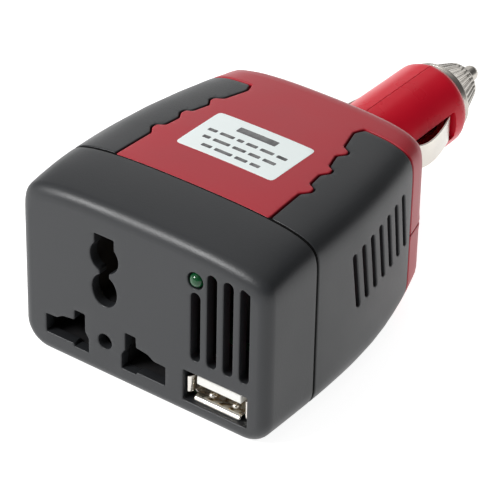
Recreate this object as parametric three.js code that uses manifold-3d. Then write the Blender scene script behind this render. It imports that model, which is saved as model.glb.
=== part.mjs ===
// Car power inverter: a tapering plastic casing with a universal mains socket and a USB socket in
// its front face, and a folding lighter-socket plug behind it. Millimetres, +Z up, front face
// towards -Y, plug towards +Y.
import * as THREE from 'three';
import Module from 'manifold-3d';
import { mergeVertices } from 'three/addons/utils/BufferGeometryUtils.js';

const wasm = await Module();
wasm.setup();

// ---------- driving dimensions ----------
const bodyLength = 62; // front face to rear wall
const bodyHeight = 42.1; // at the seam behind the front cover
const widestHalf = 30.6; // half width at the widest place
const widestY = 18;
const frontNarrowing = 0.2; // half width lost from the widest place to the front
const rearNarrowing = 6.4; // and to the rear
const coverLength = 15.8; // seam between the front cover and the shells
const frontRound = 2.6; // rounding of the front edge
const rearRound = 1.6;
const cornerRadius = 6.0; // along the bottom
const frontDrop = 2.1; // height lost from the cover's seam to the front
const rearDrop = 1.3; // and to the rear
const archSquareness = [2.4, 13]; // exponents of the arch, across and upwards
const coverWall = 2.4;
const shellWall = 3.2;
const gripDepth = 1.5; // thickness of the side grips
const gap = 0.3; // clearance between touching pieces
const gripEnd = 54.8; // rear edge of the grips
const seamHeight = 18.2; // seam between the top and bottom shells
const socketX = -9.2; // centre line of the mains socket
const plugZ = 19.5; // axis of the plug
const pivotY = 73; // folding axis of the plug
const barrelRadius = 9.9;
const barrelEnd = 101.8;
const tipEnd = 119.2;
const ledY = -0.6; // front of the indicator lamp
const overallLength = tipEnd - ledY;

// ---------- materials ----------
const finish = (color, roughness, metalness = 0) => ({ color, roughness, metalness });
const darkPlastic = finish(0x3b3e42, 0.6);
const redPlastic = finish(0xb0202e, 0.4);
const nickel = finish(0xb9b5ac, 0.3, 1);
const brass = finish(0xc9a24b, 0.35, 1);
const aluminium = finish(0xb4b6b8, 0.4, 1);
const boardGreen = finish(0x1f5a35, 0.5);
const paper = finish(0xeef1f1, 0.6);
const lampGreen = finish(0x2c7a3c, 0.15);
const whitePlastic = finish(0xe6e6e0, 0.4);
const blackPart = finish(0x1b1b1d, 0.5);
const copper = finish(0xb87333, 0.35, 1);
const ferrite = finish(0x4a4a4e, 0.6);
const wireRed = finish(0xa01818, 0.5);
const glass = finish(0xdfe8ea, 0.05);

// ---------- solids ----------
function signedVolume(position, index) {
  const corner = [new THREE.Vector3(), new THREE.Vector3(), new THREE.Vector3()];
  let volume = 0;
  for (let i = 0; i < index.length; i += 3) {
    corner.forEach((v, k) => v.fromArray(position, 3 * index[i + k]));
    volume += corner[0].dot(corner[1].clone().cross(corner[2])) / 6;
  }
  return volume;
}

// A closed three.js geometry as a solid, turned the right way out.
function solid(geometry) {
  geometry.deleteAttribute('normal');
  geometry.deleteAttribute('uv');
  const merged = mergeVertices(geometry, 1e-4);
  const position = Float32Array.from(merged.attributes.position.array);
  const index = Uint32Array.from(merged.index.array);
  if (signedVolume(position, index) < 0) {
    for (let i = 0; i < index.length; i += 3) {
      [index[i + 1], index[i + 2]] = [index[i + 2], index[i + 1]];
    }
  }
  return new wasm.Manifold(new wasm.Mesh({ numProp: 3, vertProperties: position, triVerts: index }));
}

function box(x0, x1, y0, y1, z0, z1) {
  const geometry = new THREE.BoxGeometry(x1 - x0, y1 - y0, z1 - z0);
  return solid(geometry.translate((x0 + x1) / 2, (y0 + y1) / 2, (z0 + z1) / 2));
}

// A flat outline of (x, z) points carried along Y from y0 to y1.
function prismY(shape, y0, y1) {
  const geometry = new THREE.ExtrudeGeometry(shape, {
    depth: y1 - y0, bevelEnabled: false, curveSegments: 6,
  });
  return solid(geometry.rotateX(Math.PI / 2).translate(0, y1, 0));
}

// A flat outline of (x, y) points carried along Z from z0 to z1.
function prismZ(shape, z0, z1) {
  const geometry = new THREE.ExtrudeGeometry(shape, {
    depth: z1 - z0, bevelEnabled: false, curveSegments: 6,
  });
  return solid(geometry.translate(0, 0, z0));
}

// A profile of [radius, y] points turned about the plug's axis.
function turned(profile, segments = 32) {
  const points = profile.map(([r, y]) => new THREE.Vector2(r, y));
  return solid(new THREE.LatheGeometry(points, segments).translate(0, 0, plugZ));
}

// A round rod from a to b.
function rod(a, b, radius, segments = 16) {
  const from = new THREE.Vector3(...a);
  const axis = new THREE.Vector3(...b).sub(from);
  const geometry = new THREE.CylinderGeometry(radius, radius, axis.length(), segments);
  const turn = new THREE.Quaternion().setFromUnitVectors(
    new THREE.Vector3(0, 1, 0), axis.clone().normalize());
  geometry.applyQuaternion(turn);
  const middle = from.addScaledVector(axis, 0.5);
  return solid(geometry.translate(middle.x, middle.y, middle.z));
}

// A round bar bent along a curve.
function bentBar(curve, radius, steps, sides = 8) {
  const ring = new THREE.Shape();
  ring.absarc(0, 0, radius, 0, 2 * Math.PI);
  const geometry = new THREE.ExtrudeGeometry(ring, {
    steps, extrudePath: curve, curveSegments: sides / 2, bevelEnabled: false,
  });
  return solid(geometry);
}

const outline = (points) => new THREE.Shape(points.map(([x, y]) => new THREE.Vector2(x, y)));
const union = (solids) => solids.reduce((sum, s) => sum.add(s));
const cutAll = (blank, cutters) => cutters.reduce((rest, c) => rest.subtract(c), blank);

// ---------- the casing's outer form ----------
function halfWidth(y) {
  const forward = Math.max(0, widestY - y) / widestY;
  const back = Math.max(0, y - widestY) / (bodyLength - widestY);
  return widestHalf - frontNarrowing * forward ** 2 - rearNarrowing * back ** 2;
}

function topHeight(y) {
  const forward = Math.max(0, coverLength - y) / coverLength;
  const back = Math.max(0, y - 20) / (bodyLength - 20);
  return bodyHeight - frontDrop * forward ** 2 - rearDrop * back ** 2;
}

// How far a rounded edge of radius r has drawn in at distance d from the end face.
function roundedIn(d, r) {
  return d >= r ? 0 : r - Math.sqrt(r * r - (r - d) ** 2);
}

// One cross section at y, drawn in by inset: a squarish arch above, small round corners below.
function section(y, inset) {
  const ends = roundedIn(y, frontRound) + roundedIn(bodyLength - y, rearRound);
  const w = halfWidth(y) - inset - ends;
  const middle = bodyHeight / 2;
  const up = topHeight(y) - inset - ends - middle;
  const r = Math.max(0.6, cornerRadius - inset);
  const floor = inset + ends;
  const [across, upwards] = archSquareness;
  const ring = [];
  const archSteps = 16;
  for (let i = 0; i <= archSteps; i += 1) {
    const a = (Math.PI * i) / archSteps;
    const x = Math.sign(Math.cos(a)) * Math.abs(Math.cos(a)) ** (2 / across);
    ring.push([w * x, y, middle + up * Math.abs(Math.sin(a)) ** (2 / upwards)]);
  }
  for (const side of [-1, 1]) {
    for (let i = 0; i <= 3; i += 1) {
      const a = ((side < 0 ? 2 : 3) * Math.PI) / 2 + (Math.PI * i) / 6;
      ring.push([side * (w - r) + r * Math.cos(a), y, floor + r + r * Math.sin(a)]);
    }
  }
  return ring;
}

// A closed solid through cross sections that all have the same number of points.
function loft(rings) {
  const count = rings[0].length;
  const position = rings.flat(2);
  const index = [];
  for (let k = 0; k + 1 < rings.length; k += 1) {
    for (let i = 0; i < count; i += 1) {
      const a = k * count + i;
      const b = k * count + ((i + 1) % count);
      index.push(a, b, a + count, b, b + count, a + count);
    }
  }
  [0, rings.length - 1].forEach((k, end) => {
    const centre = position.length / 3;
    const ring = rings[k];
    position.push(...[0, 1, 2].map((j) => ring.reduce((s, p) => s + p[j], 0) / count));
    for (let i = 0; i < count; i += 1) {
      const a = k * count + i;
      const b = k * count + ((i + 1) % count);
      index.push(...(end === 0 ? [centre, b, a] : [centre, a, b]));
    }
  });
  const geometry = new THREE.BufferGeometry();
  geometry.setAttribute('position', new THREE.Float32BufferAttribute(position, 3));
  geometry.setIndex(index);
  return solid(geometry);
}

// The casing's form between y0 and y1, drawn in by inset all round.
function form(y0, y1, inset = 0) {
  const stations = [0, 0.4, 1.2, frontRound, 9, coverLength, 22, 32, 42, gripEnd];
  stations.push(bodyLength - rearRound, bodyLength - 0.8, bodyLength - 0.25, bodyLength);
  const inside = stations.filter((y) => y > y0 + 0.2 && y < y1 - 0.2);
  return loft([y0, ...inside, y1].map((y) => section(y, inset)));
}

// ---------- outlines in the front face ----------
// One line slot of the universal socket: a wide blade slot with an upright tab hole at its inner
// end. side is -1 for the left slot and 1 for the right one.
function lineSlot(side) {
  const points = [
    [15.1, 9.4], [12.3, 9.5], [10.7, 10.5], [7.8, 10.9], [7.7, 13.3], [5.1, 13.3],
    [5.1, 9.2], [4.2, 7.8], [4.2, 4.4], [7.8, 4.4], [8.0, 5.0], [15.1, 5.0],
  ];
  return outline(points.map(([dx, z]) => [socketX + side * dx, z]));
}

// The earth opening: a square-topped round hole joined to an oval one below it.
function earthSlot() {
  const shape = new THREE.Shape();
  const neck = 1.2;
  shape.moveTo(socketX - 2.4, 33.8);
  shape.lineTo(socketX - 2.4, 31.6);
  shape.absarc(socketX, 29, 3.5, Math.PI * 0.76, Math.PI * 1.385, false);
  shape.lineTo(socketX - neck, 24.8);
  shape.absellipse(socketX, 21.2, 3.1, 3.7, Math.PI * 0.63, Math.PI * 2.37, false);
  shape.lineTo(socketX + neck, 25.8);
  shape.absarc(socketX, 29, 3.5, Math.PI * 1.615, Math.PI * 2.24, false);
  shape.lineTo(socketX + 2.4, 33.8);
  return shape;
}

// An upright slot with round ends.
function uprightSlot(x, z0, z1, width) {
  const r = width / 2;
  const shape = new THREE.Shape();
  shape.absarc(x, z1 - r, r, 0, Math.PI, false);
  shape.absarc(x, z0 + r, r, Math.PI, 2 * Math.PI, false);
  return shape;
}

const ventWidth = 2.3;
const frontVents = [0, 1, 2, 3].map((i) => ({ x: 13.2 + 3.9 * i, top: i === 0 ? 30.2 : 35.8 }));
const usbOpening = { x0: 10.5, x1: 25.7, z0: 4.0, z1: 11.0 };
const lamp = { x: 13.1, z: 33.0, radius: 1.6 };

function frontCover() {
  const hollow = form(coverWall, coverLength + 1, coverWall).translate(0, 0.001, 0);
  const cuts = [lineSlot(-1), lineSlot(1), earthSlot()].map((s) => prismY(s, -1, 6));
  for (const vent of frontVents) {
    cuts.push(prismY(uprightSlot(vent.x, 14.2, vent.top, ventWidth), -1, 6));
  }
  const { x0, x1, z0, z1 } = usbOpening;
  cuts.push(box(x0, x1, -1, 6, z0, z1));
  cuts.push(rod([lamp.x, -1, lamp.z], [lamp.x, 6, lamp.z], lamp.radius + gap));
  cuts.push(rod([socketX, -1, 9], [socketX, 6, 9], 1.7));
  return cutAll(form(0, coverLength - gap / 2), [hollow, ...cuts]);
}

// ---------- shells and grips ----------
// The stepped inner edge of a grip, seen from above, on the +X side.
const gripEdge = [
  [19.1, 15.0], [18.5, 26.4], [19.9, 28.4], [19.8, 29.8], [18.1, 30.6], [17.6, 34.4], [18.8, 36.4],
  [18.6, 37.8], [17.2, 38.3], [16.0, 42.3], [17.3, 44.3], [17.1, 45.4], [15.2, 46.3], [13.5, 52.0],
];

function gripRegion(side, grow) {
  const edge = gripEdge.map(([x, y]) => [side * (x - grow), y]);
  edge.push([side * (14.4 - grow), gripEnd - 0.4 + grow]);
  edge.push([side * 20, gripEnd + grow], [side * 40, gripEnd + grow], [side * 40, 15.0]);
  return prismZ(outline(edge), -5, 60);
}

const sideVents = [0, 1, 2, 3, 4, 5, 6].map((i) => 30 + 3.5 * i);

// Upright slots right through both sides of the casing.
function sideVentCutters() {
  return sideVents.map((y) => {
    const slot = new THREE.ExtrudeGeometry(uprightSlot(0, 17.4, 31.6, 1.55), {
      depth: 80, bevelEnabled: false, curveSegments: 6,
    });
    const across = slot.rotateX(Math.PI / 2).rotateZ(Math.PI / 2).translate(-40, y, 0);
    return solid(across);
  });
}

function grip(side) {
  const start = coverLength + gap / 2;
  const layer = form(start, gripEnd).subtract(form(start - 1, gripEnd + 1, gripDepth));
  return cutAll(layer.intersect(gripRegion(side, 0)), sideVentCutters());
}

const post = { x: 11, front: 20.5, rear: 53.5, radius: 2.9 };
const posts = [[-1, post.front], [1, post.front], [-1, post.rear], [1, post.rear]];
const screwRadius = 1.2;

// Both shells as one hollow, with pockets for the grips, the label, the vents and the bracket.
function shellBlank() {
  const start = coverLength + gap / 2;
  const hollow = form(start - 1, bodyLength - shellWall, shellWall);
  const pocketLayer = form(start, bodyLength).subtract(form(start - 1, bodyLength - 0.5, gripDepth + gap));
  const pockets = [-1, 1].map((side) => pocketLayer.intersect(gripRegion(side, gap)));
  const earSlots = [-1, 1].map((side) => {
    const x = [side * (ear.inner - gap), side * (ear.outer + gap)].sort((a, b) => a - b);
    return box(...x, 50, 70, plugZ - ear.radius - gap, plugZ + ear.radius + gap);
  });
  return cutAll(form(start, bodyLength), [hollow, ...pockets, ...sideVentCutters(), ...earSlots]);
}

const labelSize = { x: 11.9, y0: 26.1, y1: 40.9 };

function labelRegion(grow) {
  const { x, y0, y1 } = labelSize;
  return box(-x - grow, x + grow, y0 - grow, y1 + grow, 30, 60);
}

function topShell() {
  const blank = shellBlank().intersect(box(-40, 40, 0, 70, seamHeight + gap / 2, 60));
  const recess = labelRegion(gap).subtract(form(16, 60, 0.5));
  const pillars = posts.map(([side, y]) => {
    const x = side * post.x;
    const pillar = rod([x, y, seamHeight + gap], [x, y, 41], post.radius);
    return pillar.subtract(rod([x, y, 0], [x, y, 30], screwRadius + gap, 12)).intersect(form(16, 61, 1));
  });
  return union([cutAll(blank, [recess]), ...pillars]);
}

function bottomShell() {
  const blank = shellBlank().intersect(box(-40, 40, 0, 70, -1, seamHeight - gap / 2));
  const pillars = posts.map(([side, y]) => {
    const x = side * post.x;
    return rod([x, y, 1], [x, y, seamHeight - gap], post.radius);
  });
  const holes = posts.map(([side, y]) => {
    const x = side * post.x;
    const head = rod([x, y, -1], [x, y, 2.6], 2.5);
    return head.add(rod([x, y, 0], [x, y, 30], screwRadius + gap, 12));
  });
  return cutAll(union([blank, ...pillars]), holes);
}

function labelPlate() {
  return labelRegion(0).intersect(form(16, 60, -0.05)).subtract(form(15, 61, 0.2));
}

function caseScrew([side, y]) {
  const x = side * post.x;
  return rod([x, y, 1.1], [x, y, 2.3], 2.2).add(rod([x, y, 2], [x, y, 29], screwRadius, 12));
}

// ---------- behind the front face ----------
const carrier = { x0: -25.4, x1: 7.8, y0: 2.7, y1: 14.6, z0: 3.1, z1: 35.6 };

function socketCarrier() {
  const { x0, x1, y0, y1, z0, z1 } = carrier;
  const well = (a, b, c, d) => box(a, b, y0 - 1, y1 - 1.3, c, d);
  const cuts = [well(socketX - 15.5, socketX - 4, 4.2, 14.6), well(socketX + 4, socketX + 15.5, 4.2, 14.6)];
  cuts.push(well(socketX - 3.8, socketX + 4.8, 17.2, 34.3));
  const block = box(x0, x1, y0, y1, z0, z1).intersect(form(0, bodyLength, coverWall + 2 * gap));
  return cutAll(block, cuts);
}

// A spring strip along the roof of a line well.
function lineContact(side) {
  const x = [socketX + side * 5, socketX + side * 14.6].sort((a, b) => a - b);
  const lip = box(...x, 3.3, 4.1, 13.5, 14.3);
  return box(...x, 3.3, 12.9, 13.7, 14.3).add(lip);
}

function earthContact() {
  return box(socketX + 3.7, socketX + 4.4, 3.3, 12.9, 18, 33.6);
}

const usb = { x0: 11.2, x1: 24.6, y0: 1.2, y1: 13.0, z0: 4.5, z1: 10.3 };

function usbShell() {
  const { x0, x1, y0, y1, z0, z1 } = usb;
  return box(x0, x1, y0, y1, z0, z1).subtract(
    box(x0 + 0.4, x1 - 0.4, y0 - 1, y1 - 0.6, z0 + 0.4, z1 - 0.4));
}

function usbTongue() {
  return box(usb.x0 + 1.1, usb.x1 - 1.1, usb.y0 + 1.4, usb.y1 - 1, usb.z1 - 2.6, usb.z1 - 0.8);
}

function usbContact(i) {
  const x = (usb.x0 + usb.x1) / 2 + 2.5 * (i - 1.5);
  return box(x - 0.5, x + 0.5, usb.y0 + 2.2, usb.y1 - 2, usb.z1 - 3.15, usb.z1 - 2.9);
}

function lampBody() {
  const { radius: r, x, z } = lamp;
  const profile = [[0, ledY], [0.62 * r, ledY + 0.3], [0.92 * r, ledY + 0.95], [r, ledY + 1.7]];
  profile.push([r, 5.5], [0, 5.5]);
  return turned(profile, 20).translate(x, 0, z - plugZ);
}

// ---------- circuit board and its parts ----------
const board = { x: 21, y0: 17.5, y1: 56, z0: 6.6, z1: 8.2 };
const onBoard = board.z1 + gap;

function mainBoard() {
  const holes = posts.map(([side, y]) => rod([side * post.x, y, 0], [side * post.x, y, 20], post.radius + gap));
  return cutAll(box(-board.x, board.x, board.y0, board.y1, board.z0, board.z1), holes);
}

function transformerCore() {
  const top = onBoard + 19;
  const window = (side) => {
    const x = [side * 4.3, side * 8.5].sort((a, b) => a - b);
    return box(...x, 20, 60, onBoard + 4, top - 4);
  };
  return cutAll(box(-12, 12, 29.5, 46.5, onBoard, top), [window(-1), window(1)]);
}

function transformerWinding() {
  const z0 = onBoard + 4 + gap;
  const z1 = onBoard + 15 - gap;
  return box(-8.2, 8.2, 27, 49, z0, z1).subtract(box(-4.6, 4.6, 29.2, 46.8, z0 - 1, z1 + 1));
}

function capacitor(side) {
  return rod([side * 18.6, 23, onBoard], [side * 18.6, 23, onBoard + 17], 4.2, 24);
}

function heatSink(side) {
  const x = [side * 18.6, side * 20.1].sort((a, b) => a - b);
  const plate = box(...x, 40, 55, onBoard, onBoard + 16);
  const fins = [41, 44.5, 48, 51.5].map((y) => {
    const fx = [side * 19, side * 21.6].sort((a, b) => a - b);
    return box(...fx, y, y + 1, onBoard, onBoard + 16);
  });
  return union([plate, ...fins]);
}

function transistor(side, row) {
  const x = [side * 14.6, side * 18.3].sort((a, b) => a - b);
  const y = 40.4 + 7.4 * row;
  return box(...x, y, y + 6.6, onBoard + (row === 0 ? 0 : 5), onBoard + 15);
}

function choke() {
  const geometry = new THREE.TorusGeometry(3.7, 1.5, 8, 16);
  return solid(geometry.translate(-17.6, 33.8, onBoard + 1.5));
}

function buzzer() {
  return rod([17.6, 33.8, onBoard], [17.6, 33.8, onBoard + 6], 4.6, 24);
}

// A lead from the board to a hole in the pivot bracket's plate.
function lead(side) {
  const curve = new THREE.CatmullRomCurve3([
    new THREE.Vector3(side * 4, 52, onBoard), new THREE.Vector3(side * 4.3, 52.4, onBoard + 5),
    new THREE.Vector3(side * 4.6, 54, onBoard + 9.5), new THREE.Vector3(side * 4, 58.2, plugZ),
  ]);
  return bentBar(curve, 0.9, 10);
}

// ---------- pivot bracket and plug ----------
const ear = { inner: 10.3, outer: 11.9, radius: 5.6 };
const bracket = { y0: 56.4, y1: 58.4, x: 13.4, z0: 11, z1: 29 };

function pivotBracket() {
  const plate = box(-bracket.x, bracket.x, bracket.y0, bracket.y1, bracket.z0, bracket.z1);
  const leadHoles = [-1, 1].map((side) => rod([side * 4, 50, plugZ], [side * 4, 65, plugZ], 1.6));
  const ears = [-1, 1].map((side) => {
    const x = [side * ear.inner, side * ear.outer].sort((a, b) => a - b);
    const arm = box(...x, bracket.y1 - 1, pivotY, plugZ - ear.radius, plugZ + ear.radius);
    const end = rod([x[0], pivotY, plugZ], [x[1], pivotY, plugZ], ear.radius, 24);
    return arm.add(end).subtract(rod([x[0] - 1, pivotY, plugZ], [x[1] + 1, pivotY, plugZ], pin.radius + gap));
  });
  return union([cutAll(plate, leadHoles), ...ears]);
}

const pin = { radius: 1.9, inner: 7.6, head: 3.0 };

function pivotPin(side) {
  const shank = rod([side * pin.inner, pivotY, plugZ], [side * 12.6, pivotY, plugZ], pin.radius);
  return shank.add(rod([side * 12.2, pivotY, plugZ], [side * 13, pivotY, plugZ], pin.head, 20));
}

const spigotRadius = 5.8;
const spigotEnd = 106.4;
const boreRadius = 3.6; // room for the fuse
const window = { y0: 79.2, y1: 97.1, depth: 4.9, half: 3.3 }; // opening for a side contact

// The moulded barrel before it is split: a round knuckle at the pivot, a spigot for the nose cap.
function barrel() {
  const r = barrelRadius;
  const outer = turned([
    [0, pivotY - r], [r, pivotY - r], [r, 80], [r - 0.3, barrelEnd - 0.6], [r - 0.8, barrelEnd],
    [spigotRadius, barrelEnd], [spigotRadius, spigotEnd], [0, spigotEnd],
  ], 32);
  const knuckle = rod([-12, pivotY, plugZ], [12, pivotY, plugZ], r, 32);
  const ahead = box(-12, 12, pivotY, 110, plugZ - 12, plugZ + 12);
  const bore = turned([[0, 66.2], [boreRadius, 66.2], [boreRadius, 120], [0, 120]], 24);
  const pinHoles = [-1, 1].map((side) => {
    const from = [side * (pin.inner - gap), pivotY, plugZ];
    return rod(from, [side * 12, pivotY, plugZ], pin.radius + gap);
  });
  const windows = [-1, 1].map((side) => {
    const x = [side * window.depth, side * 14].sort((a, b) => a - b);
    return box(...x, window.y0, window.y1, plugZ - window.half, plugZ + window.half);
  });
  return cutAll(outer.intersect(knuckle.add(ahead)), [bore, ...pinHoles, ...windows]);
}

function barrelHalf(side) {
  const x = [side * 0.12, side * 15].sort((a, b) => a - b);
  return barrel().intersect(box(...x, 60, 110, 0, 40));
}

// The outline of a bent strip: the spine, then the same line moved sideways by its thickness.
function stripOutline(spine, thick) {
  const moved = spine.map(([x, y], i) => {
    const before = spine[Math.max(0, i - 1)];
    const after = spine[Math.min(spine.length - 1, i + 1)];
    const along = new THREE.Vector2(after[0] - before[0], after[1] - before[1]).normalize();
    return [x - along.y * thick, y + along.x * thick];
  });
  return [...spine, ...moved.reverse()];
}

// A bowed spring strip: it leaves its window near the pivot, bends at its crest and runs back in.
function sideContact(side) {
  const spine = [
    [7.4, 79.9], [8.8, 80.4], [11.5, 82.3], [11.3, 85.5], [10.4, 91], [9.4, 95.6], [8.2, 96.5], [6.9, 96.5],
  ];
  const points = stripOutline(spine, 0.5).map(([x, y]) => [side * x, y]);
  return prismZ(outline(points), plugZ - 2.9, plugZ + 2.9);
}

const fuse = { rear: 73.6, front: 100.4, cap: 5 };

function fuseCap(y0) {
  return rod([0, y0, plugZ], [0, y0 + fuse.cap, plugZ], 3.2, 20);
}

function fuseTube() {
  const y0 = fuse.rear + fuse.cap + gap;
  return rod([0, y0, plugZ], [0, fuse.front - fuse.cap - gap, plugZ], 3.0, 20);
}

function tipSpring() {
  const turns = 3;
  class Coil extends THREE.Curve {
    getPoint(t) {
      const a = 2 * Math.PI * turns * t;
      return new THREE.Vector3(2.6 * Math.cos(a), 66.9 + 3 * t, plugZ + 2.6 * Math.sin(a));
    }
  }
  return bentBar(new Coil(), 0.35, 36, 6);
}

function tipPin() {
  const r = 1.85;
  return turned([
    [0, fuse.front + gap], [3.2, fuse.front + gap], [3.2, 102.6], [r, 102.6], [r, tipEnd - 1.7],
    [0.87 * r, tipEnd - 0.8], [0.5 * r, tipEnd - 0.2], [0, tipEnd],
  ], 24);
}

function noseCap() {
  const back = barrelEnd + gap;
  return turned([
    [spigotRadius + gap, back], [9.2, back], [9.1, 104.3], [9.45, 104.5], [9.45, 105.1], [8.3, 105.4],
    [4.8, 112.4], [3.6, 113.4], [2.2, 113.4], [2.2, 110.6], [4.2, 108.4], [spigotRadius + gap, 108.2],
    [spigotRadius + gap, back],
  ], 28);
}

function capWasher() {
  return turned([[2.3, 106.8], [4.9, 106.8], [4.9, 107.6], [2.3, 107.6], [2.3, 106.8]], 24);
}

// ---------- the assembly ----------
const assembly = new THREE.Group();
assembly.name = 'power_inverter';
const inner = new THREE.Group();
inner.position.y = -ledY - overallLength / 2;
assembly.add(inner);

function add(name, piece, material) {
  const mesh = piece.getMesh();
  const geometry = new THREE.BufferGeometry();
  const position = Float32Array.from(mesh.vertProperties);
  geometry.setAttribute('position', new THREE.BufferAttribute(position, 3));
  geometry.setIndex(new THREE.BufferAttribute(Uint32Array.from(mesh.triVerts), 1));
  geometry.computeVertexNormals();
  const part = new THREE.Mesh(geometry, new THREE.MeshStandardMaterial(material));
  part.name = name;
  inner.add(part);
}

const sides = [[-1, 'left'], [1, 'right']];

add('front_cover', frontCover(), darkPlastic);
add('top_shell', topShell(), redPlastic);
add('bottom_shell', bottomShell(), redPlastic);
sides.forEach(([side, name]) => add(`${name}_grip`, grip(side), darkPlastic));
add('label', labelPlate(), paper);
posts.forEach((place, i) => add(`case_screw_${i + 1}`, caseScrew(place), nickel));

add('socket_carrier', socketCarrier(), blackPart);
add('live_contact', lineContact(-1), brass);
add('neutral_contact', lineContact(1), brass);
add('earth_contact', earthContact(), brass);
add('usb_shell', usbShell(), nickel);
add('usb_tongue', usbTongue(), whitePlastic);
[0, 1, 2, 3].forEach((i) => add(`usb_contact_${i + 1}`, usbContact(i), brass));
add('usb_board', box(10.2, 24.8, 4, 14.6, 2.95, 4.15), boardGreen);
add('indicator_lamp', lampBody(), lampGreen);

add('main_board', mainBoard(), boardGreen);
add('transformer_core', transformerCore(), ferrite);
add('transformer_winding', transformerWinding(), copper);
add('choke', choke(), copper);
add('buzzer', buzzer(), blackPart);
add('control_chip', box(-4, 4, 19.6, 25, onBoard, onBoard + 1.6), blackPart);
sides.forEach(([side, name]) => {
  add(`capacitor_${name}`, capacitor(side), blackPart);
  add(`heat_sink_${name}`, heatSink(side), aluminium);
  [0, 1].forEach((row) => add(`transistor_${name}_${row + 1}`, transistor(side, row), blackPart));
});
add('positive_lead', lead(-1), wireRed);
add('negative_lead', lead(1), blackPart);

add('pivot_bracket', pivotBracket(), darkPlastic);
sides.forEach(([side, name]) => {
  add(`pivot_pin_${name}`, pivotPin(side), nickel);
  add(`plug_half_${name}`, barrelHalf(side), redPlastic);
  add(`side_contact_${name}`, sideContact(side), nickel);
});
add('fuse_tube', fuseTube(), glass);
add('fuse_cap_rear', fuseCap(fuse.rear), nickel);
add('fuse_cap_front', fuseCap(fuse.front - fuse.cap), nickel);
add('tip_spring', tipSpring(), nickel);
add('tip_pin', tipPin(), nickel);
add('nose_cap', noseCap(), nickel);
add('cap_washer', capWasher(), whitePlastic);

export default assembly;
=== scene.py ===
# %% [markdown]
# # A car power inverter
# The real thing is a handful of injection moulded shells closed with screws, with metal contacts
# showing through openings. The frame that MuJoCo moves is loaded first, so that every piece made
# here lands where the moving bodies already are.

# %% Load the frame
import math

import bmesh
import bpy
import numpy as np
from mathutils import Matrix, Vector
from mathutils.geometry import delaunay_2d_cdt


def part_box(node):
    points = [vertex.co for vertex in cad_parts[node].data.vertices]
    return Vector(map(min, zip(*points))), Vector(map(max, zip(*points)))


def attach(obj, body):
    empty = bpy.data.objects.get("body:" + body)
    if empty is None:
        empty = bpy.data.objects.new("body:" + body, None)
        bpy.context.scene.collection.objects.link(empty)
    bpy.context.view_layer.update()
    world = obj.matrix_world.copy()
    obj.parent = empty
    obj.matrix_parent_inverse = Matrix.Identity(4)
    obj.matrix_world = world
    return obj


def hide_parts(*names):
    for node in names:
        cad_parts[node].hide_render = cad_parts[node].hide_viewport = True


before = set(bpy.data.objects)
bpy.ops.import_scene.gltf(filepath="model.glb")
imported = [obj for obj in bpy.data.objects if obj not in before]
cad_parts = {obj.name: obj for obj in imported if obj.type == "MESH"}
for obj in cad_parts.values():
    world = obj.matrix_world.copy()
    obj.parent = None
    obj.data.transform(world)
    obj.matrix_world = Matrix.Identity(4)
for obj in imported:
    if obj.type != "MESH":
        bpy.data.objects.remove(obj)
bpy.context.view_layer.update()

MM = 0.001
FRONT_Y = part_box("front_cover")[0][1] / MM
SIDES = ((-1, "left"), (1, "right"))

# %% [markdown]
# ## Working units
# The pieces are drawn in millimetres from the middle of the front face's lower edge: x across, y back
# through the casing, z up. One helper turns that into the frame's metres, and one makes the object,
# gives it its finish and lets it ride on its body.

# %% From drawing to object
def place(points):
    """Millimetres of the drawing to metres of the frame."""
    moved = np.array(points, dtype=float).reshape(-1, 3)
    moved[:, 1] += FRONT_Y
    return moved * MM


def make(name, verts, faces, body, finish, material, replaces=(), even=True):
    mesh = bpy.data.meshes.new(name)
    mesh.from_pydata([tuple(v) for v in place(verts)], [], [tuple(int(i) for i in f) for f in faces])
    work = bmesh.new()
    work.from_mesh(mesh)
    bmesh.ops.remove_doubles(work, verts=work.verts, dist=1e-7)
    bmesh.ops.dissolve_degenerate(work, edges=work.edges, dist=1e-7)
    bmesh.ops.recalc_face_normals(work, faces=work.faces)
    for face in work.faces:
        face.smooth = True
    work.to_mesh(mesh)
    work.free()
    piece = bpy.data.objects.new(name, mesh)
    bpy.context.scene.collection.objects.link(piece)
    piece.data.materials.append(material)
    if even:
        level = piece.modifiers.new("level normals", "WEIGHTED_NORMAL")
        level.keep_sharp = True
    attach(piece, body)
    if replaces:
        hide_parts(*replaces)
    print(f"{name}: {len(mesh.vertices)} points, {len(mesh.polygons)} faces")
    return piece


# %% [markdown]
# ## Shared surface effects
# Moulded plastic is never one flat colour: the tool's spark-eroded grain gives a fine bump, the
# pigment varies a little, and handled edges polish up. One node group makes all three from noise in
# the piece's own space, so every plastic and metal uses the same recipe with its own numbers.

# %% The grain group
def new_group(name, inputs, outputs):
    group = bpy.data.node_groups.new(name, "ShaderNodeTree")
    for label, value in inputs:
        socket = group.interface.new_socket(label, in_out="INPUT", socket_type="NodeSocketFloat")
        socket.default_value = value
    for label in outputs:
        group.interface.new_socket(label, in_out="OUTPUT", socket_type="NodeSocketFloat")
    return group, group.nodes.new("NodeGroupInput"), group.nodes.new("NodeGroupOutput")


def feed(tree, socket, value):
    """Links an output to a socket, or gives the socket a constant."""
    if hasattr(value, "is_output"):
        tree.links.new(value, socket)
    else:
        socket.default_value = value


def maths(tree, operation, *values):
    node = tree.nodes.new("ShaderNodeMath")
    node.operation = operation
    for socket, value in zip(node.inputs, values):
        feed(tree, socket, value)
    return node.outputs[0]


def noise(tree, scale, detail, vector, roughness=0.5):
    node = tree.nodes.new("ShaderNodeTexNoise")
    node.inputs["Detail"].default_value = detail
    node.inputs["Roughness"].default_value = roughness
    feed(tree, node.inputs["Scale"], scale)
    tree.links.new(vector, node.inputs["Vector"])
    return node.outputs["Fac"]


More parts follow.
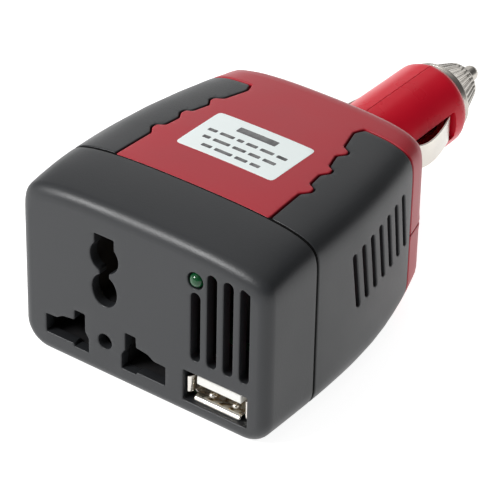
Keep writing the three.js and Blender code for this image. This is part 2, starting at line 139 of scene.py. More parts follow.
def grain_group():
    tree, inlet, outlet = new_group(
        "moulded_grain",
        [("Grain Scale", 2600.0), ("Blotch Scale", 60.0), ("Wear", 0.5)],
        ["Height", "Blotch", "Worn Edge"])
    where = tree.nodes.new("ShaderNodeTexCoord").outputs["Object"]
    fine = noise(tree, inlet.outputs["Grain Scale"], 3.0, where, 0.6)
    tree.links.new(fine, outlet.inputs["Height"])
    blotch = noise(tree, inlet.outputs["Blotch Scale"], 4.0, where)
    tree.links.new(blotch, outlet.inputs["Blotch"])
    pointed = tree.nodes.new("ShaderNodeNewGeometry").outputs["Pointiness"]
    raised = maths(tree, "MULTIPLY", maths(tree, "SUBTRACT", pointed, 0.52), 9.0)
    broken = maths(tree, "MULTIPLY", raised, maths(tree, "ADD", blotch, 0.2))
    worn = maths(tree, "MULTIPLY", broken, inlet.outputs["Wear"])
    clamp = tree.nodes.new("ShaderNodeClamp")
    tree.links.new(worn, clamp.inputs["Value"])
    tree.links.new(clamp.outputs[0], outlet.inputs["Worn Edge"])
    return tree


def brushed_group():
    """Fine turning or rolling marks: noise drawn out along one axis."""
    tree, inlet, outlet = new_group(
        "brushed_marks", [("Across", 900.0), ("Along", 40.0)], ["Height", "Stain"])
    where = tree.nodes.new("ShaderNodeTexCoord").outputs["Object"]
    stretch = tree.nodes.new("ShaderNodeMapping")
    tree.links.new(where, stretch.inputs["Vector"])
    scales = tree.nodes.new("ShaderNodeCombineXYZ")
    for axis, label in (("X", "Along"), ("Y", "Across"), ("Z", "Along")):
        tree.links.new(inlet.outputs[label], scales.inputs[axis])
    tree.links.new(scales.outputs[0], stretch.inputs["Scale"])
    tree.links.new(noise(tree, 1.0, 3.0, stretch.outputs[0]), outlet.inputs["Height"])
    tree.links.new(noise(tree, 120.0, 5.0, where), outlet.inputs["Stain"])
    return tree


GRAIN = grain_group()
BRUSHED = brushed_group()
print("node groups:", GRAIN.name, BRUSHED.name)

# %% [markdown]
# ## Materials
# Every finish is a Principled surface whose colour, roughness and bump are fed by those groups. The
# constants sit on the shader itself; only what changes over the surface comes through a link.

# %% Material helpers
def linked_group(tree, group, **values):
    node = tree.nodes.new("ShaderNodeGroup")
    node.node_tree = group
    for label, value in values.items():
        node.inputs[label.replace("_", " ")].default_value = value
    return node.outputs


def blend_colour(tree, factor, first, second):
    mix = tree.nodes.new("ShaderNodeMix")
    mix.data_type = "RGBA"
    tree.links.new(factor, mix.inputs["Factor"])
    for socket, value in ((mix.inputs[6], first), (mix.inputs[7], second)):
        feed(tree, socket, value if hasattr(value, "is_output") else (*value, 1.0))
    return mix.outputs[2]


def ranged(tree, value, *limits):
    node = tree.nodes.new("ShaderNodeMapRange")
    for label, limit in zip(("From Min", "From Max", "To Min", "To Max"), limits):
        node.inputs[label].default_value = limit
    tree.links.new(value, node.inputs["Value"])
    return node.outputs["Result"]


def spread(tree, value, low, high):
    """Noise hardly leaves 0.3 to 0.7, so that stretch of it is spread from low to high."""
    return ranged(tree, value, 0.3, 0.7, low, high)


def bumped(tree, height, strength, distance):
    bump = tree.nodes.new("ShaderNodeBump")
    bump.inputs["Strength"].default_value = strength
    bump.inputs["Distance"].default_value = distance
    tree.links.new(height, bump.inputs["Height"])
    return bump.outputs[0]


def start_material(name):
    material = bpy.data.materials.new(name)
    material.use_nodes = True
    tree = material.node_tree
    return material, tree, tree.nodes["Principled BSDF"]


def plastic(name, colour, worn, roughness, grain=(2600.0, 0.25, 0.00004), blotch=60.0, wear=0.6,
            coat=0.0, specular=0.5, varied=0.12):
    """Moulded plastic: mottled pigment, fine grain in the bump, edges polished by handling."""
    material, tree, shader = start_material(name)
    scale, strength, distance = grain
    marks = linked_group(tree, GRAIN, Grain_Scale=scale, Blotch_Scale=blotch, Wear=wear)
    light = tuple(c * (1 + varied) for c in colour)
    dark = tuple(c * (1 - varied) for c in colour)
    mottled = blend_colour(tree, marks["Blotch"], dark, light)
    tree.links.new(blend_colour(tree, marks["Worn Edge"], mottled, worn), shader.inputs["Base Color"])
    tree.links.new(spread(tree, marks["Blotch"], *roughness), shader.inputs["Roughness"])
    tree.links.new(bumped(tree, marks["Height"], strength, distance), shader.inputs["Normal"])
    shader.inputs["Coat Weight"].default_value = coat
    shader.inputs["Coat Roughness"].default_value = 0.12
    shader.inputs["Specular IOR Level"].default_value = specular
    return material


def metal(name, colour, stained, roughness, across=900.0, along=40.0, strength=0.12):
    """Plated or rolled metal: drawn-out marks in the bump, slight stains in colour and polish."""
    material, tree, shader = start_material(name)
    marks = linked_group(tree, BRUSHED, Across=across, Along=along)
    tree.links.new(blend_colour(tree, marks["Stain"], colour, stained), shader.inputs["Base Color"])
    tree.links.new(spread(tree, marks["Stain"], *roughness), shader.inputs["Roughness"])
    tree.links.new(bumped(tree, marks["Height"], strength, 0.00003), shader.inputs["Normal"])
    shader.inputs["Metallic"].default_value = 1.0
    return material


# %% [markdown]
# The dark plastic has a spark-eroded texture that scatters light and reads as blue grey. The red
# shells are satin, and the plug's barrel is the same red with a glossier skin. Nickel is warm.

# %% The finishes
DARK = plastic("dark_grained_plastic", (0.0195, 0.021, 0.0232), (0.05, 0.05, 0.054), (0.34, 0.43),
               grain=(3000.0, 0.5, 0.00006), wear=0.12, specular=0.42)
RED = plastic("red_satin_plastic", (0.41, 0.007, 0.02), (0.55, 0.1, 0.12), (0.34, 0.44),
              grain=(2400.0, 0.25, 0.00004), wear=0.15)
BARREL = plastic("red_gloss_plastic", (0.66, 0.002, 0.02), (0.6, 0.03, 0.05), (0.24, 0.32),
                 grain=(1800.0, 0.08, 0.00003), wear=0.2, specular=0.22)
BARREL_INSIDE = plastic("red_shadow_plastic", (0.10, 0.004, 0.006), (0.1, 0.01, 0.01), (0.5, 0.6))
BLACK = plastic("black_moulding", (0.012, 0.012, 0.013), (0.05, 0.05, 0.05), (0.45, 0.6))
# The cover's lip is drawn near black and matt: painted shade for the gap behind the cover, darker than the
# lip's own dark plastic.
LIP_SHADE = plastic("matt_painted_lip_shade", (0.003, 0.003, 0.003), (0.006, 0.006, 0.006), (0.8, 0.9), specular=0.08)
WHITE = plastic("white_moulding", (0.72, 0.72, 0.68), (0.8, 0.8, 0.78), (0.35, 0.45), varied=0.04)
PAPER = plastic("coated_paper", (0.89, 0.96, 0.95), (0.92, 0.97, 0.97), (0.4, 0.5),
                grain=(1500.0, 0.12, 0.00002), wear=0.1, varied=0.03)
INK = plastic("print_ink", (0.035, 0.035, 0.04), (0.2, 0.2, 0.2), (0.45, 0.6), blotch=900.0, varied=0.3)
NICKEL = metal("nickel_plate", (0.62, 0.59, 0.54), (0.45, 0.42, 0.38), (0.2, 0.34))
BRIGHT = metal("bright_nickel", (0.8, 0.77, 0.71), (0.62, 0.59, 0.54), (0.16, 0.28))
BRASS = metal("rolled_brass", (0.72, 0.5, 0.2), (0.5, 0.33, 0.14), (0.25, 0.4))
GOLD = metal("gold_flash", (0.9, 0.62, 0.25), (0.75, 0.5, 0.2), (0.15, 0.25))
ALUMINIUM = metal("extruded_aluminium", (0.72, 0.73, 0.75), (0.55, 0.56, 0.58), (0.3, 0.45))
COPPER = metal("enamelled_copper", (0.7, 0.3, 0.14), (0.5, 0.2, 0.09), (0.25, 0.4), across=2400.0)
FERRITE = plastic("sintered_ferrite", (0.05, 0.05, 0.055), (0.15, 0.15, 0.15), (0.5, 0.7))
BOARD = plastic("solder_mask", (0.015, 0.13, 0.05), (0.1, 0.25, 0.1), (0.2, 0.35), coat=0.4)
WIRE_RED = plastic("wire_insulation", (0.4, 0.012, 0.012), (0.5, 0.1, 0.1), (0.35, 0.5))


def clear(name, blotch, dark, light, roughness, **constants):
    """A clear or tinted material with faint blotches in its tint and polish."""
    material, tree, shader = start_material(name)
    marks = linked_group(tree, GRAIN, Blotch_Scale=blotch)
    tree.links.new(blend_colour(tree, marks["Blotch"], dark, light), shader.inputs["Base Color"])
    tree.links.new(spread(tree, marks["Blotch"], *roughness), shader.inputs["Roughness"])
    for label, value in constants.items():
        shader.inputs[label.replace("_", " ")].default_value = value
    return material


LAMP = clear("tinted_resin", 300.0, (0.002, 0.055, 0.014), (0.008, 0.13, 0.04), (0.04, 0.1),
             Transmission_Weight=0.35, IOR=1.5, Coat_Weight=0.15, Specular_IOR_Level=0.35)
GLASS = clear("fuse_glass", 200.0, (0.85, 0.9, 0.9), (0.95, 0.97, 0.97), (0.02, 0.08),
              Transmission_Weight=0.9)
print("finishes:", len([m for m in bpy.data.materials if m.use_nodes]))

# %% [markdown]
# ## The casing's form
# All the shells, grips and the label share one surface: a squarish arch over a flat base, widest a
# little behind the front and tapering to the rear. If each piece were modelled by hand they would
# never sit flush, so the surface is written down once, and the pieces are regions of it.

# %% The form in numbers
BODY_LENGTH = 62.0
BODY_HEIGHT = 42.1
MIDDLE = BODY_HEIGHT / 2
FRONT_ROUND = 2.6
REAR_ROUND = 1.6
CORNER, CORNER_REAR = 6.0, 10.0  # the lower corners' radius at the front and at the rear
COVER_SEAM = 15.8
GRIP_END = 54.8
SHELL_SEAM = 19.6
ACROSS, UPWARDS = 2.4, 13.0  # how square the arch is, across and upwards
GROOVE = 0.3  # half the gap behind the cover
GRIP_GAP = 0.4  # round the grips
WIDEST, WIDEST_Y = 30.6, 18.0  # half the width where it is widest, and where that is
FRONT_NARROWING, REAR_NARROWING = 0.2, 6.4
HIGHEST_Y, FRONT_DROP, REAR_DROP = 20.0, 2.1, 1.3
CORNER_GROWS_Y = 36.0


def share(y, start, stop):
    """How far y has gone from start towards stop, none before the start."""
    return max(0.0, (y - start) / (stop - start))


def half_width(y):
    forward, back = share(y, WIDEST_Y, 0.0), share(y, WIDEST_Y, BODY_LENGTH)
    return WIDEST - FRONT_NARROWING * forward**2 - REAR_NARROWING * back**2


def top_height(y):
    forward, back = share(y, COVER_SEAM, 0.0), share(y, HIGHEST_Y, BODY_LENGTH)
    return BODY_HEIGHT - FRONT_DROP * forward**2 - REAR_DROP * back**2


def half_ring(y, inset):
    """The +X half of a cross section, from the top centre down to the bottom centre, as (x, z)."""
    w = half_width(y) - inset
    up = top_height(y) - inset - MIDDLE
    grown = (CORNER_REAR - CORNER) * share(y, CORNER_GROWS_Y, BODY_LENGTH) ** 2
    r = max(0.6, CORNER + grown - inset)
    turn = 0.955  # where the arch is better measured by height than by width
    u = turn * np.linspace(0.0, 1.0, 90)
    over = np.column_stack([u * w, MIDDLE + up * (1 - u**ACROSS) ** (1 / UPWARDS)])
    v = (1 - turn**ACROSS) ** (1 / UPWARDS) * (1 - np.linspace(0.0, 1.0, 90)[1:])
    side = np.column_stack([w * (1 - v**UPWARDS) ** (1 / ACROSS), MIDDLE + up * v])
    straight = np.column_stack([np.full(30, w), np.linspace(MIDDLE, inset + r, 30)])
    angle = np.linspace(0.0, -math.pi / 2, 20)
    corner = np.column_stack([w - r + r * np.cos(angle), inset + r + r * np.sin(angle)])
    base = np.column_stack([np.linspace(w - r, 0.0, 60), np.full(60, inset)])
    return np.vstack([over, side, straight[1:], corner[1:], base[1:]])


def walked(line):
    """Distance along a line of points."""
    return np.concatenate([[0.0], np.cumsum(np.linalg.norm(np.diff(line, axis=0), axis=1))])


def profile(q):
    """The lengthwise outline: y and inset at the distance q along it, round the rear edge too."""
    straight = BODY_LENGTH - REAR_ROUND
    if q <= straight:
        return q, 0.0
    angle = min((q - straight) / REAR_ROUND, math.pi / 2)
    return straight + REAR_ROUND * math.sin(angle), REAR_ROUND * (1 - math.cos(angle))


REAR_TURN = BODY_LENGTH - REAR_ROUND + REAR_ROUND * math.pi / 2
print("half perimeter at the widest place:", round(float(walked(half_ring(WIDEST_Y, 0))[-1]), 1), "mm")

# %% [markdown]
# A table of that surface, indexed by the distance walked round the section and along the casing,
# lets a flat drawing be wrapped onto it and sunk by any depth along the surface's normal.

# %% The wrapping table
class Wrap:
    """Maps (distance from the centre line round the section, distance along) to space."""

    def __init__(self, from_top):
        self.from_top = from_top
        self.up = 1 if from_top else -1
        self.along = np.concatenate([np.arange(14.0, 59.0, 0.5), np.linspace(59.0, REAR_TURN, 16)])
        rings = [self._ring(q) for q in self.along]
        self.step = 0.25
        count = int(min(walked(r)[-1] for r in rings) / self.step)
        self.round = np.arange(count) * self.step
        rows = []
        for q, ring in zip(self.along, rings):
            d = walked(ring)
            y = np.full(count, profile(q)[0])
            rows.append(np.column_stack([np.interp(self.round, d, ring[:, 0]), y,
                                         np.interp(self.round, d, ring[:, 1])]))
        self.points = np.array(rows)
        by_q = np.gradient(self.points, self.along, axis=0)
        by_round = np.gradient(self.points, self.round, axis=1)
        normal = np.cross(by_round, by_q)
        normal /= np.linalg.norm(normal, axis=2, keepdims=True)
        outward = self.points - np.array([0.0, 30.0, MIDDLE])
        normal *= np.sign(np.sum(normal * outward, axis=2, keepdims=True))
        normal[:, 0, 0] = 0.0
        for _ in range(12):  # evened out, so that a wall sunk under a tight corner doesn't fold
            normal[:, 1:-1] = (normal[:, :-2] + 2 * normal[:, 1:-1] + normal[:, 2:]) / 4
        self.normals = normal

    def _ring(self, q):
        """The half section at q, walked from the side that this table starts on."""
        return half_ring(*profile(q))[:: self.up]

    def _look(self, table, a, b):
        i = np.clip(np.interp(b, self.along, np.arange(len(self.along))), 0, len(self.along) - 1.001)
        j = np.clip(a / self.step, 0, len(self.round) - 1.001)
        i0, j0 = i.astype(int), j.astype(int)
        fi, fj = (i - i0)[:, None], (j - j0)[:, None]
        near = table[i0, j0] * (1 - fj) + table[i0, j0 + 1] * fj
        far = table[i0 + 1, j0] * (1 - fj) + table[i0 + 1, j0 + 1] * fj
        return near * (1 - fi) + far * fi

    def __call__(self, flat, depth):
        flat = np.asarray(flat, dtype=float)
        a, b = np.abs(flat[:, 0]), flat[:, 1]
        point = self._look(self.points, a, b)
        normal = self._look(self.normals, a, b)
        normal /= np.linalg.norm(normal, axis=1, keepdims=True)
        out = point - normal * np.reshape(depth, (-1, 1))
        out[:, 0] *= np.where(flat[:, 0] < 0, -1.0, 1.0)
        return out

    def at_x(self, x, q):
        """Distance round the section of the point this far from the centre plane."""
        ring = self._ring(q)
        stop = int(np.argmax(ring[:, 0]))
        return float(np.interp(abs(x), ring[: stop + 1, 0], walked(ring)[: stop + 1])) * np.sign(x)

    def at_z(self, z, q):
        """Distance round the section of the point at this height on the side."""
        ring = half_ring(*profile(q))
        d = walked(ring)
        found = float(np.interp(-z, -ring[:, 1], d))
        return found if self.from_top else float(d[-1]) - found


OVER = Wrap(True)
UNDER = Wrap(False)
print("wrapping tables:", OVER.points.shape[:2], UNDER.points.shape[:2])

# %% [markdown]
# ## Moulded panels
# A moulding's edge is never knife sharp: it has a small radius that catches the light. Bevelling
# after a boolean cut is fragile on curved faces, so each panel is built the other way round. Its
# outline and openings are drawn flat, offset inward in small steps while sinking, and the field
# between them is filled with an even triangulation, which is then wrapped onto the surface.

# %% Outline helpers
def is_left(loop):
    """Whether the loop runs anticlockwise, with its inside on its left."""
    x, y = np.asarray(loop).T
    return float(np.sum(x * np.roll(y, -1) - np.roll(x, -1) * y)) > 0


def bend(before, here, after, radius, straight=-2.0, steps=3):
    """The points of a small curve in place of the corner here; a nearly straight one is kept."""
    back, on = before - here, after - here
    lb, lo = np.linalg.norm(back), np.linalg.norm(on)
    if float(back @ on / (lb * lo)) < straight:
        return [here]
    reach = min(radius, lb * 0.45, lo * 0.45)
    a, b = here + back / lb * reach, here + on / lo * reach
    return [(1 - t) ** 2 * a + 2 * t * (1 - t) * here + t * t * b for t in np.linspace(0, 1, steps + 1)]


def soften(loop, radius):
    """Rounds each sharp corner of an outline."""
    loop = np.asarray(loop, dtype=float)
    bends = zip(np.roll(loop, 1, axis=0), loop, np.roll(loop, -1, axis=0))
    return np.array([p for corner in bends for p in bend(*corner, radius, straight=-0.97)])


def refine(loop, spacing):
    """Adds points so that no stretch is longer than the spacing."""
    loop = np.asarray(loop, dtype=float)
    out = []
    for here, after in zip(loop, np.roll(loop, -1, axis=0)):
        cuts = max(1, int(math.ceil(np.linalg.norm(after - here) / spacing)))
        out.extend(here + (after - here) * k / cuts for k in range(cuts))
    return np.array(out)


def moved_in(loop, distance):
    """The loop shifted to its left by a distance."""
    if distance == 0:
        return loop.copy()
    on = np.roll(loop, -1, axis=0) - loop
    on /= np.linalg.norm(on, axis=1, keepdims=True)
    left = np.column_stack([-on[:, 1], on[:, 0]])
    both = left + np.roll(left, 1, axis=0)
    both /= np.maximum(np.linalg.norm(both, axis=1, keepdims=True), 1e-9)
    stretch = np.clip(1.0 / np.maximum(np.sum(both * left, axis=1), 0.3), 1.0, 1.7)
    return loop + both * (distance * stretch)[:, None]


def inside(points, loop):
    """Which points lie inside a loop."""
    x, y = points[:, 0][:, None], points[:, 1][:, None]
    x0, y0 = loop[:, 0][None], loop[:, 1][None]
    x1, y1 = np.roll(loop[:, 0], -1)[None], np.roll(loop[:, 1], -1)[None]
    crosses = (y0 > y) != (y1 > y)
    with np.errstate(divide="ignore", invalid="ignore"):
        at = x0 + (y - y0) * (x1 - x0) / (y1 - y0)
    return np.sum(crosses & (x < at), axis=1) % 2 == 1


def in_field(points, loops):
    """Which points lie inside the first loop and outside the rest."""
    keep = inside(points, loops[0])
    for loop in loops[1:]:
        keep &= ~inside(points, loop)
    return keep


def fill(loops, step):
    """Triangulates the field inside the first loop and outside the rest, with even points in it."""
    edge = np.vstack(loops)
    low, high = loops[0].min(axis=0), loops[0].max(axis=0)
    columns = np.arange(low[0] + step / 2, high[0], step)
    rows = np.arange(low[1] + step / 2, high[1], step)
    grid = np.array([[x, y] for x in columns for y in rows]).reshape(-1, 2)
    grid = grid[in_field(grid, loops)]
    roomy = []
    for chunk in np.array_split(grid, max(1, len(grid) // 500)):
        if len(chunk):
            gap = np.linalg.norm(chunk[:, None] - edge[None], axis=2).min(axis=1)
            roomy.append(chunk[gap > 0.55 * step])
    grid = np.vstack(roomy) if roomy else np.zeros((0, 2))
    links, start = [], 0
    for loop in loops:
        n = len(loop)
        links += [(start + i, start + (i + 1) % n) for i in range(n)]
        start += n
    flat = [Vector((float(x), float(y))) for x, y in np.vstack([edge, grid])]
    verts, _, faces, origin, _, _ = delaunay_2d_cdt(flat, links, [], 1, 1e-6)
    verts = np.array([[v.x, v.y] for v in verts])
    middle = np.array([verts[list(f)].mean(axis=0) for f in faces])
    keep = in_field(middle, loops)
    return verts, [f for f, kept in zip(faces, keep) if kept], origin, len(edge)


# %% The panel builder
def strip(first, second, count):
    """Quads between two rows of the same number of points, closed round."""
    return [(first + i, first + (i + 1) % count, second + (i + 1) % count, second + i)
            for i in range(count)]


def loft(rings, closed=False, caps=True):
    """Rings of equally many points joined in turn: closed round to the first, capped, or left open."""
    count, last = len(rings[0]), len(rings) - 1
    faces = [f for k in range(last) for f in strip(k * count, (k + 1) * count, count)]
    if closed:
        faces += strip(last * count, 0, count)
    elif caps:
        faces += [tuple(range(count)), tuple(range(last * count, (last + 1) * count))]
    return np.vstack(rings), faces


def panel(loops, surface, depth, rim=0.3, step=1.4, rim_steps=3, spacing=0.7, open_outline=False):
    """A closed plate: outline first, openings after it, wrapped onto surface(flat, depth).

    With open_outline the first loop gets no rim or wall, and its front and back rows are returned
    so that the caller can carry them on.
    """
    tidy = []
    for n, loop in enumerate(loops):
        loop = np.asarray(loop, dtype=float)
        loop = loop if is_left(loop) == (n == 0) else loop[::-1]
        tidy.append(loop if (n == 0 and open_outline) else refine(loop, spacing))
    verts, faces, front, back = [], [], [], []

    def put(points):
        start = sum(len(v) for v in verts)
        verts.append(np.asarray(points))
        return start

    for n, loop in enumerate(tidy):
        count = len(loop)
        if n == 0 and open_outline:
            front.append((put(surface(loop, np.zeros(count))), loop))
            back.append((put(surface(loop, np.full(count, depth))), loop))
            continue
        wall = put(surface(loop, np.full(count, depth)))
        last = wall
        for k in range(rim_steps + 1):
            angle = math.pi / 2 * k / rim_steps
            shifted = moved_in(loop, rim * (1 - math.cos(angle)))
            row = put(surface(shifted, np.full(count, rim * (1 - math.sin(angle)))))
            faces += strip(last, row, count)
            last = row
        front.append((last, shifted))
        under = put(surface(shifted, np.full(count, depth)))
        faces += strip(under, wall, count)
        back.append((under, shifted))
    flat, triangles, origin, edge_count = fill([loop for _, loop in front], step)
    starts = []
    for (f, loop), (b, _) in zip(front, back):
        starts += [(f + i, b + i) for i in range(len(loop))]
    fresh_front = put(surface(flat, np.zeros(len(flat))))
    fresh_back = put(surface(flat, np.full(len(flat), depth)))
    ids = []
    for i, source in enumerate(origin):
        known = [s for s in source if s < edge_count]
        ids.append(starts[known[0]] if known else (fresh_front + i, fresh_back + i))
    for face in triangles:
        faces.append(tuple(ids[i][0] for i in face))
        faces.append(tuple(ids[i][1] for i in face)[::-1])
    if open_outline:
        return verts, faces, front[0][0], back[0][0]
    return drop_loose(np.vstack(verts), faces)


def drop_loose(verts, faces):
    """Leaves out points that no face uses."""
    used = sorted({i for f in faces for i in f})
    new = {old: k for k, old in enumerate(used)}
    return verts[used], [tuple(new[i] for i in f) for f in faces]


def wall_at(y, way):
    """A surface for flat panels: an upright wall at y whose thickness goes the given way along y."""
    return lambda flat, depth: np.column_stack([flat[:, 0], y + way * np.reshape(depth, -1), flat[:, 1]])


def joined(*parts):
    """Several meshes as one."""
    verts, faces, start = [], [], 0
    for v, f in parts:
        verts.append(np.asarray(v))
        faces += [tuple(i + start for i in face) for face in f]
        start += len(v)
    return np.vstack(verts), faces


# %% [markdown]
# ## The front cover
# The face is flat around the socket and turns over a soft radius into the sides. Its openings are
# moulded through it: the two line slots with their tab holes, the earth opening, the round locating
# hole, four vent slots, the lamp's hole and the USB window. The flat face is one panel with its
# outline left open, and the cover's sides are rings that carry that outline back to the seam.

# %% Openings in the face
SOCKET_X = -9.2


def arc(cx, cy, rx, ry, start, stop, count):
    angle = np.radians(np.linspace(start, stop, count))
    return [(cx + rx * math.cos(t), cy + ry * math.sin(t)) for t in angle]


def line_slot(side):
    points = [
        (15.1, 9.4), (12.3, 9.5), (10.7, 10.5), (7.8, 10.9), (7.7, 13.3), (5.1, 13.3),
        (5.1, 9.2), (4.2, 7.8), (4.2, 4.4), (7.8, 4.4), (8.0, 5.0), (15.1, 5.0)]
    return soften([(SOCKET_X + side * dx, z) for dx, z in points], 0.3)


def earth_slot():
    """A round-cornered square at the top runs into two round openings, one above the other."""
    upper_left = arc(0, 29, 3.5, 3.5, 133, 250, 14)
    lower = arc(0, 21.2, 3.1, 3.7, 112, 428, 30)
    upper_right = arc(0, 29, 3.5, 3.5, 290, 407, 14)
    points = [(-2.4, 33.9), (-2.4, 31.6), *upper_left, *lower, *upper_right, (2.4, 31.6), (2.4, 33.9)]
    return soften([(SOCKET_X + x, z) for x, z in points], 0.25)


def upright_slot(cx, low, high, width):
    r = width / 2
    return np.array(arc(cx, high - r, r, r, 0, 180, 10) + arc(cx, low + r, r, r, 180, 360, 10))


VENTS = [upright_slot(13.2 + 3.9 * i, 14.2, 30.2 if i == 0 else 35.8, 2.3) for i in range(4)]
USB_WINDOW = soften([(10.3, 3.75), (25.8, 3.75), (25.8, 11.0), (10.3, 11.0)], 0.35)
LAMP_X, LAMP_Z, LAMP_R = 13.1, 33.0, 1.6
FACE_OPENINGS = [
    line_slot(-1), line_slot(1), earth_slot(), np.array(arc(SOCKET_X, 9, 1.7, 1.7, 0, 352, 28)),
    np.array(arc(LAMP_X, LAMP_Z, 1.85, 1.85, 0, 352, 28)), USB_WINDOW, *VENTS]

# %% Build the front cover
def full_ring(y, inset, count):
    """A closed section with evenly walked points, so that rings can be joined one to one."""
    half = half_ring(y, inset)
    d = walked(half)
    t = np.linspace(0.0, d[-1], count // 2 + 1)
    right = np.column_stack([np.interp(t, d, half[:, 0]), np.interp(t, d, half[:, 1])])
    left = right[1:-1][::-1] * [-1, 1]
    return np.vstack([right, left])[::-1]


def ring3(y, inset, count, y_as=None):
    flat = full_ring(y, inset, count)
    return np.column_stack([flat[:, 0], np.full(len(flat), y if y_as is None else y_as), flat[:, 1]])


def front_cover():
    count, wall, edge = 260, 2.3, 0.3
    loops = [full_ring(0.0, FRONT_ROUND, count), *FACE_OPENINGS]
    verts, faces, front, back = panel(loops, wall_at(0.0, 1), wall, rim=0.28, step=1.5, open_outline=True)
    rings = []
    for angle in np.linspace(0, math.pi / 2, 11)[1:]:
        y = FRONT_ROUND * (1 - math.cos(angle))
        rings.append(ring3(y, FRONT_ROUND * (1 - math.sin(angle)), count))
    end = COVER_SEAM - GROOVE
    rings += [ring3(y, 0.0, count) for y in np.linspace(FRONT_ROUND, end - edge, 12)[1:]]
    for angle in np.linspace(0, math.pi / 2, 4)[1:]:
        rings.append(ring3(end - edge + edge * math.sin(angle), edge * (1 - math.cos(angle)), count))
    rings += [ring3(end, 1.2, count), ring3(end, wall, count), ring3(6.0, wall, count)]
    start = sum(len(v) for v in verts)
    last = front
    for ring in rings:
        verts.append(ring)
        faces += strip(last, start, count)
        last, start = start, start + count
    faces += strip(last, back, count)
    return drop_loose(np.vstack(verts), faces)


def shaded_cover_lip():
    """The cover's lip behind the gap, drawn near black and matt as painted shade, so that it shows as a
    dark line between cover and shells.
    """
    count = 200
    half = GROOVE - 0.02
    corners = [(-half, 0.95), (-half, 0.1), (half, 0.1), (half, 0.95)]
    return loft([ring3(COVER_SEAM, inset, count, COVER_SEAM + dy) for dy, inset in corners], closed=True)


make("front_cover_shell", *front_cover(), "casing", "dark_plastic", DARK, replaces=["front_cover"])
# The lip's near black finish is painted shade in the seam's gap.
make("cover_lip_painted_shade", *shaded_cover_lip(), "casing", "black_part", LIP_SHADE)

# %% [markdown]
# ## The side grips
# Each grip is a separate dark moulding let into the red shells, flush with them. It wraps from the
# top round the side to the underside, its inner edge steps in and out like a row of soft teeth, and
# seven upright slots let air through. It is one panel on the wrapped surface.

# %% The grips' outline
GRIP_EDGE = [
    (19.1, 15.8), (18.5, 26.4), (19.9, 28.4), (19.8, 29.8), (18.1, 30.6), (17.6, 34.4), (18.8, 36.4),
    (18.6, 37.8), (17.2, 38.3), (16.0, 42.3), (17.3, 44.3), (17.1, 45.4), (15.2, 46.3), (13.5, 52.0),
    (14.5, 54.0)]
GRIP_START = COVER_SEAM + GROOVE
REAR_CORNER_X = 20.0  # where the grips' straight rear edge begins, past the stepped edge's end
SIDE_VENTS = [30.0 + 3.5 * i for i in range(7)]


def edge_line(grow):
    """The stepped edge with its ends cut to length; grow moves it towards the casing's middle."""
    line = [(x - grow, y) for x, y in GRIP_EDGE]
    line[0] = (line[0][0], GRIP_START - grow)
    line[-1] = (line[-1][0] - grow * 0.2, GRIP_END - GRIP_GAP + grow)
    return line


def across_at(q):
    """Half the distance round the section at q, top centre to bottom centre."""
    return float(walked(half_ring(*profile(q)))[-1])


def grip_outline():
    """Walked distances from the top centre: along the top edge, round the rear, along the bottom edge."""
    line = edge_line(0) + [(REAR_CORNER_X, GRIP_END)]
    top = [(OVER.at_x(x, y), y) for x, y in line]
    bottom = [(across_at(y) - UNDER.at_x(x, y), y) for x, y in line]
    return top + bottom[::-1]


def side_slot(y, width=1.55, lean=0.17):
    """A slot that leans a little; the row climbs towards the rear."""
    along = (y - SIDE_VENTS[0]) / (SIDE_VENTS[-1] - SIDE_VENTS[0])
    low, high = 17.2 + 2.0 * along, 30.8 + 1.95 * along
    flat = upright_slot(0.0, low, high, width)
    middle = (low + high) / 2
    leant = [(dy, z, y + lean * (middle - z)) for dy, z in flat]
    return np.array([(OVER.at_z(z, q), y + dy + lean * (middle - z)) for dy, z, q in leant])


def grip(side):
    loops = [soften(grip_outline(), 0.45), *[side_slot(y) for y in SIDE_VENTS]]
    verts, faces = panel(loops, OVER, 1.5, step=1.5)
    return verts * [side, 1, 1], faces


for side, name in SIDES:
    make(f"{name}_grip_moulding", *grip(side), "casing", "dark_plastic", DARK, replaces=[f"{name}_grip"])

# %% [markdown]
# ## The red shells
# The top shell is the red field between the grips plus the rear band that wraps down each side to the
# shell seam. Under each grip the shell drops to a pocket floor, which only shows as a thin shadow line
# and behind the vents. Top and underside have the same outline, so one function draws both. They are
# built further on, with their screws.

# %% Shell regions
SEAM_GAP, PLATE_GAP = 0.12, 0.15  # from the shell seam to a shell's edge and to its inner walls' edges
EAR_X = (10.0, 12.2)
EAR_Z = (13.6, 25.4)


def shell_outline(wrap):
    """The red field: along both grip edges, out round the grips' rear, down to the seam and back."""
    stop = GRIP_END + GRIP_GAP
    right = [(float(wrap.at_x(x, y)), y) for x, y in [*edge_line(GRIP_GAP), (REAR_CORNER_X, stop)]]
    z = SHELL_SEAM + wrap.up * SEAM_GAP
    right += [(wrap.at_z(z, q), q) for q in np.linspace(stop, REAR_TURN, 14)]
    return right + [(-a, q) for a, q in right][::-1]


def pocket_floor(wrap, side):
    """The shell's wall behind a grip, with the vent slots carried through it."""
    z = SHELL_SEAM + wrap.up * PLATE_GAP
    outline = [(float(wrap.at_x(x, y)), y) for x, y in edge_line(0.9)]
    outline += [(wrap.at_z(z, q), q) for q in np.linspace(GRIP_END + 1.2, GRIP_START, 40)]
    holes = []
    for y in SIDE_VENTS:
        flat = side_slot(y)
        reach = np.array([wrap.at_z(SHELL_SEAM, q) for q in flat[:, 1]])
        a = flat[:, 0] if wrap.from_top else np.array([across_at(q) for q in flat[:, 1]]) - flat[:, 0]
        if a.min() < reach.min() - 1.2:
            holes.append(np.column_stack([np.minimum(a, reach - 0.6), flat[:, 1]]))

    def sunk(flat, depth):
        return wrap(flat, np.asarray(depth) + 1.75)

    verts, faces = panel([outline, *holes], sunk, 1.4, rim=0.05, step=2.5, rim_steps=1)
    return verts * [side, 1, 1], faces


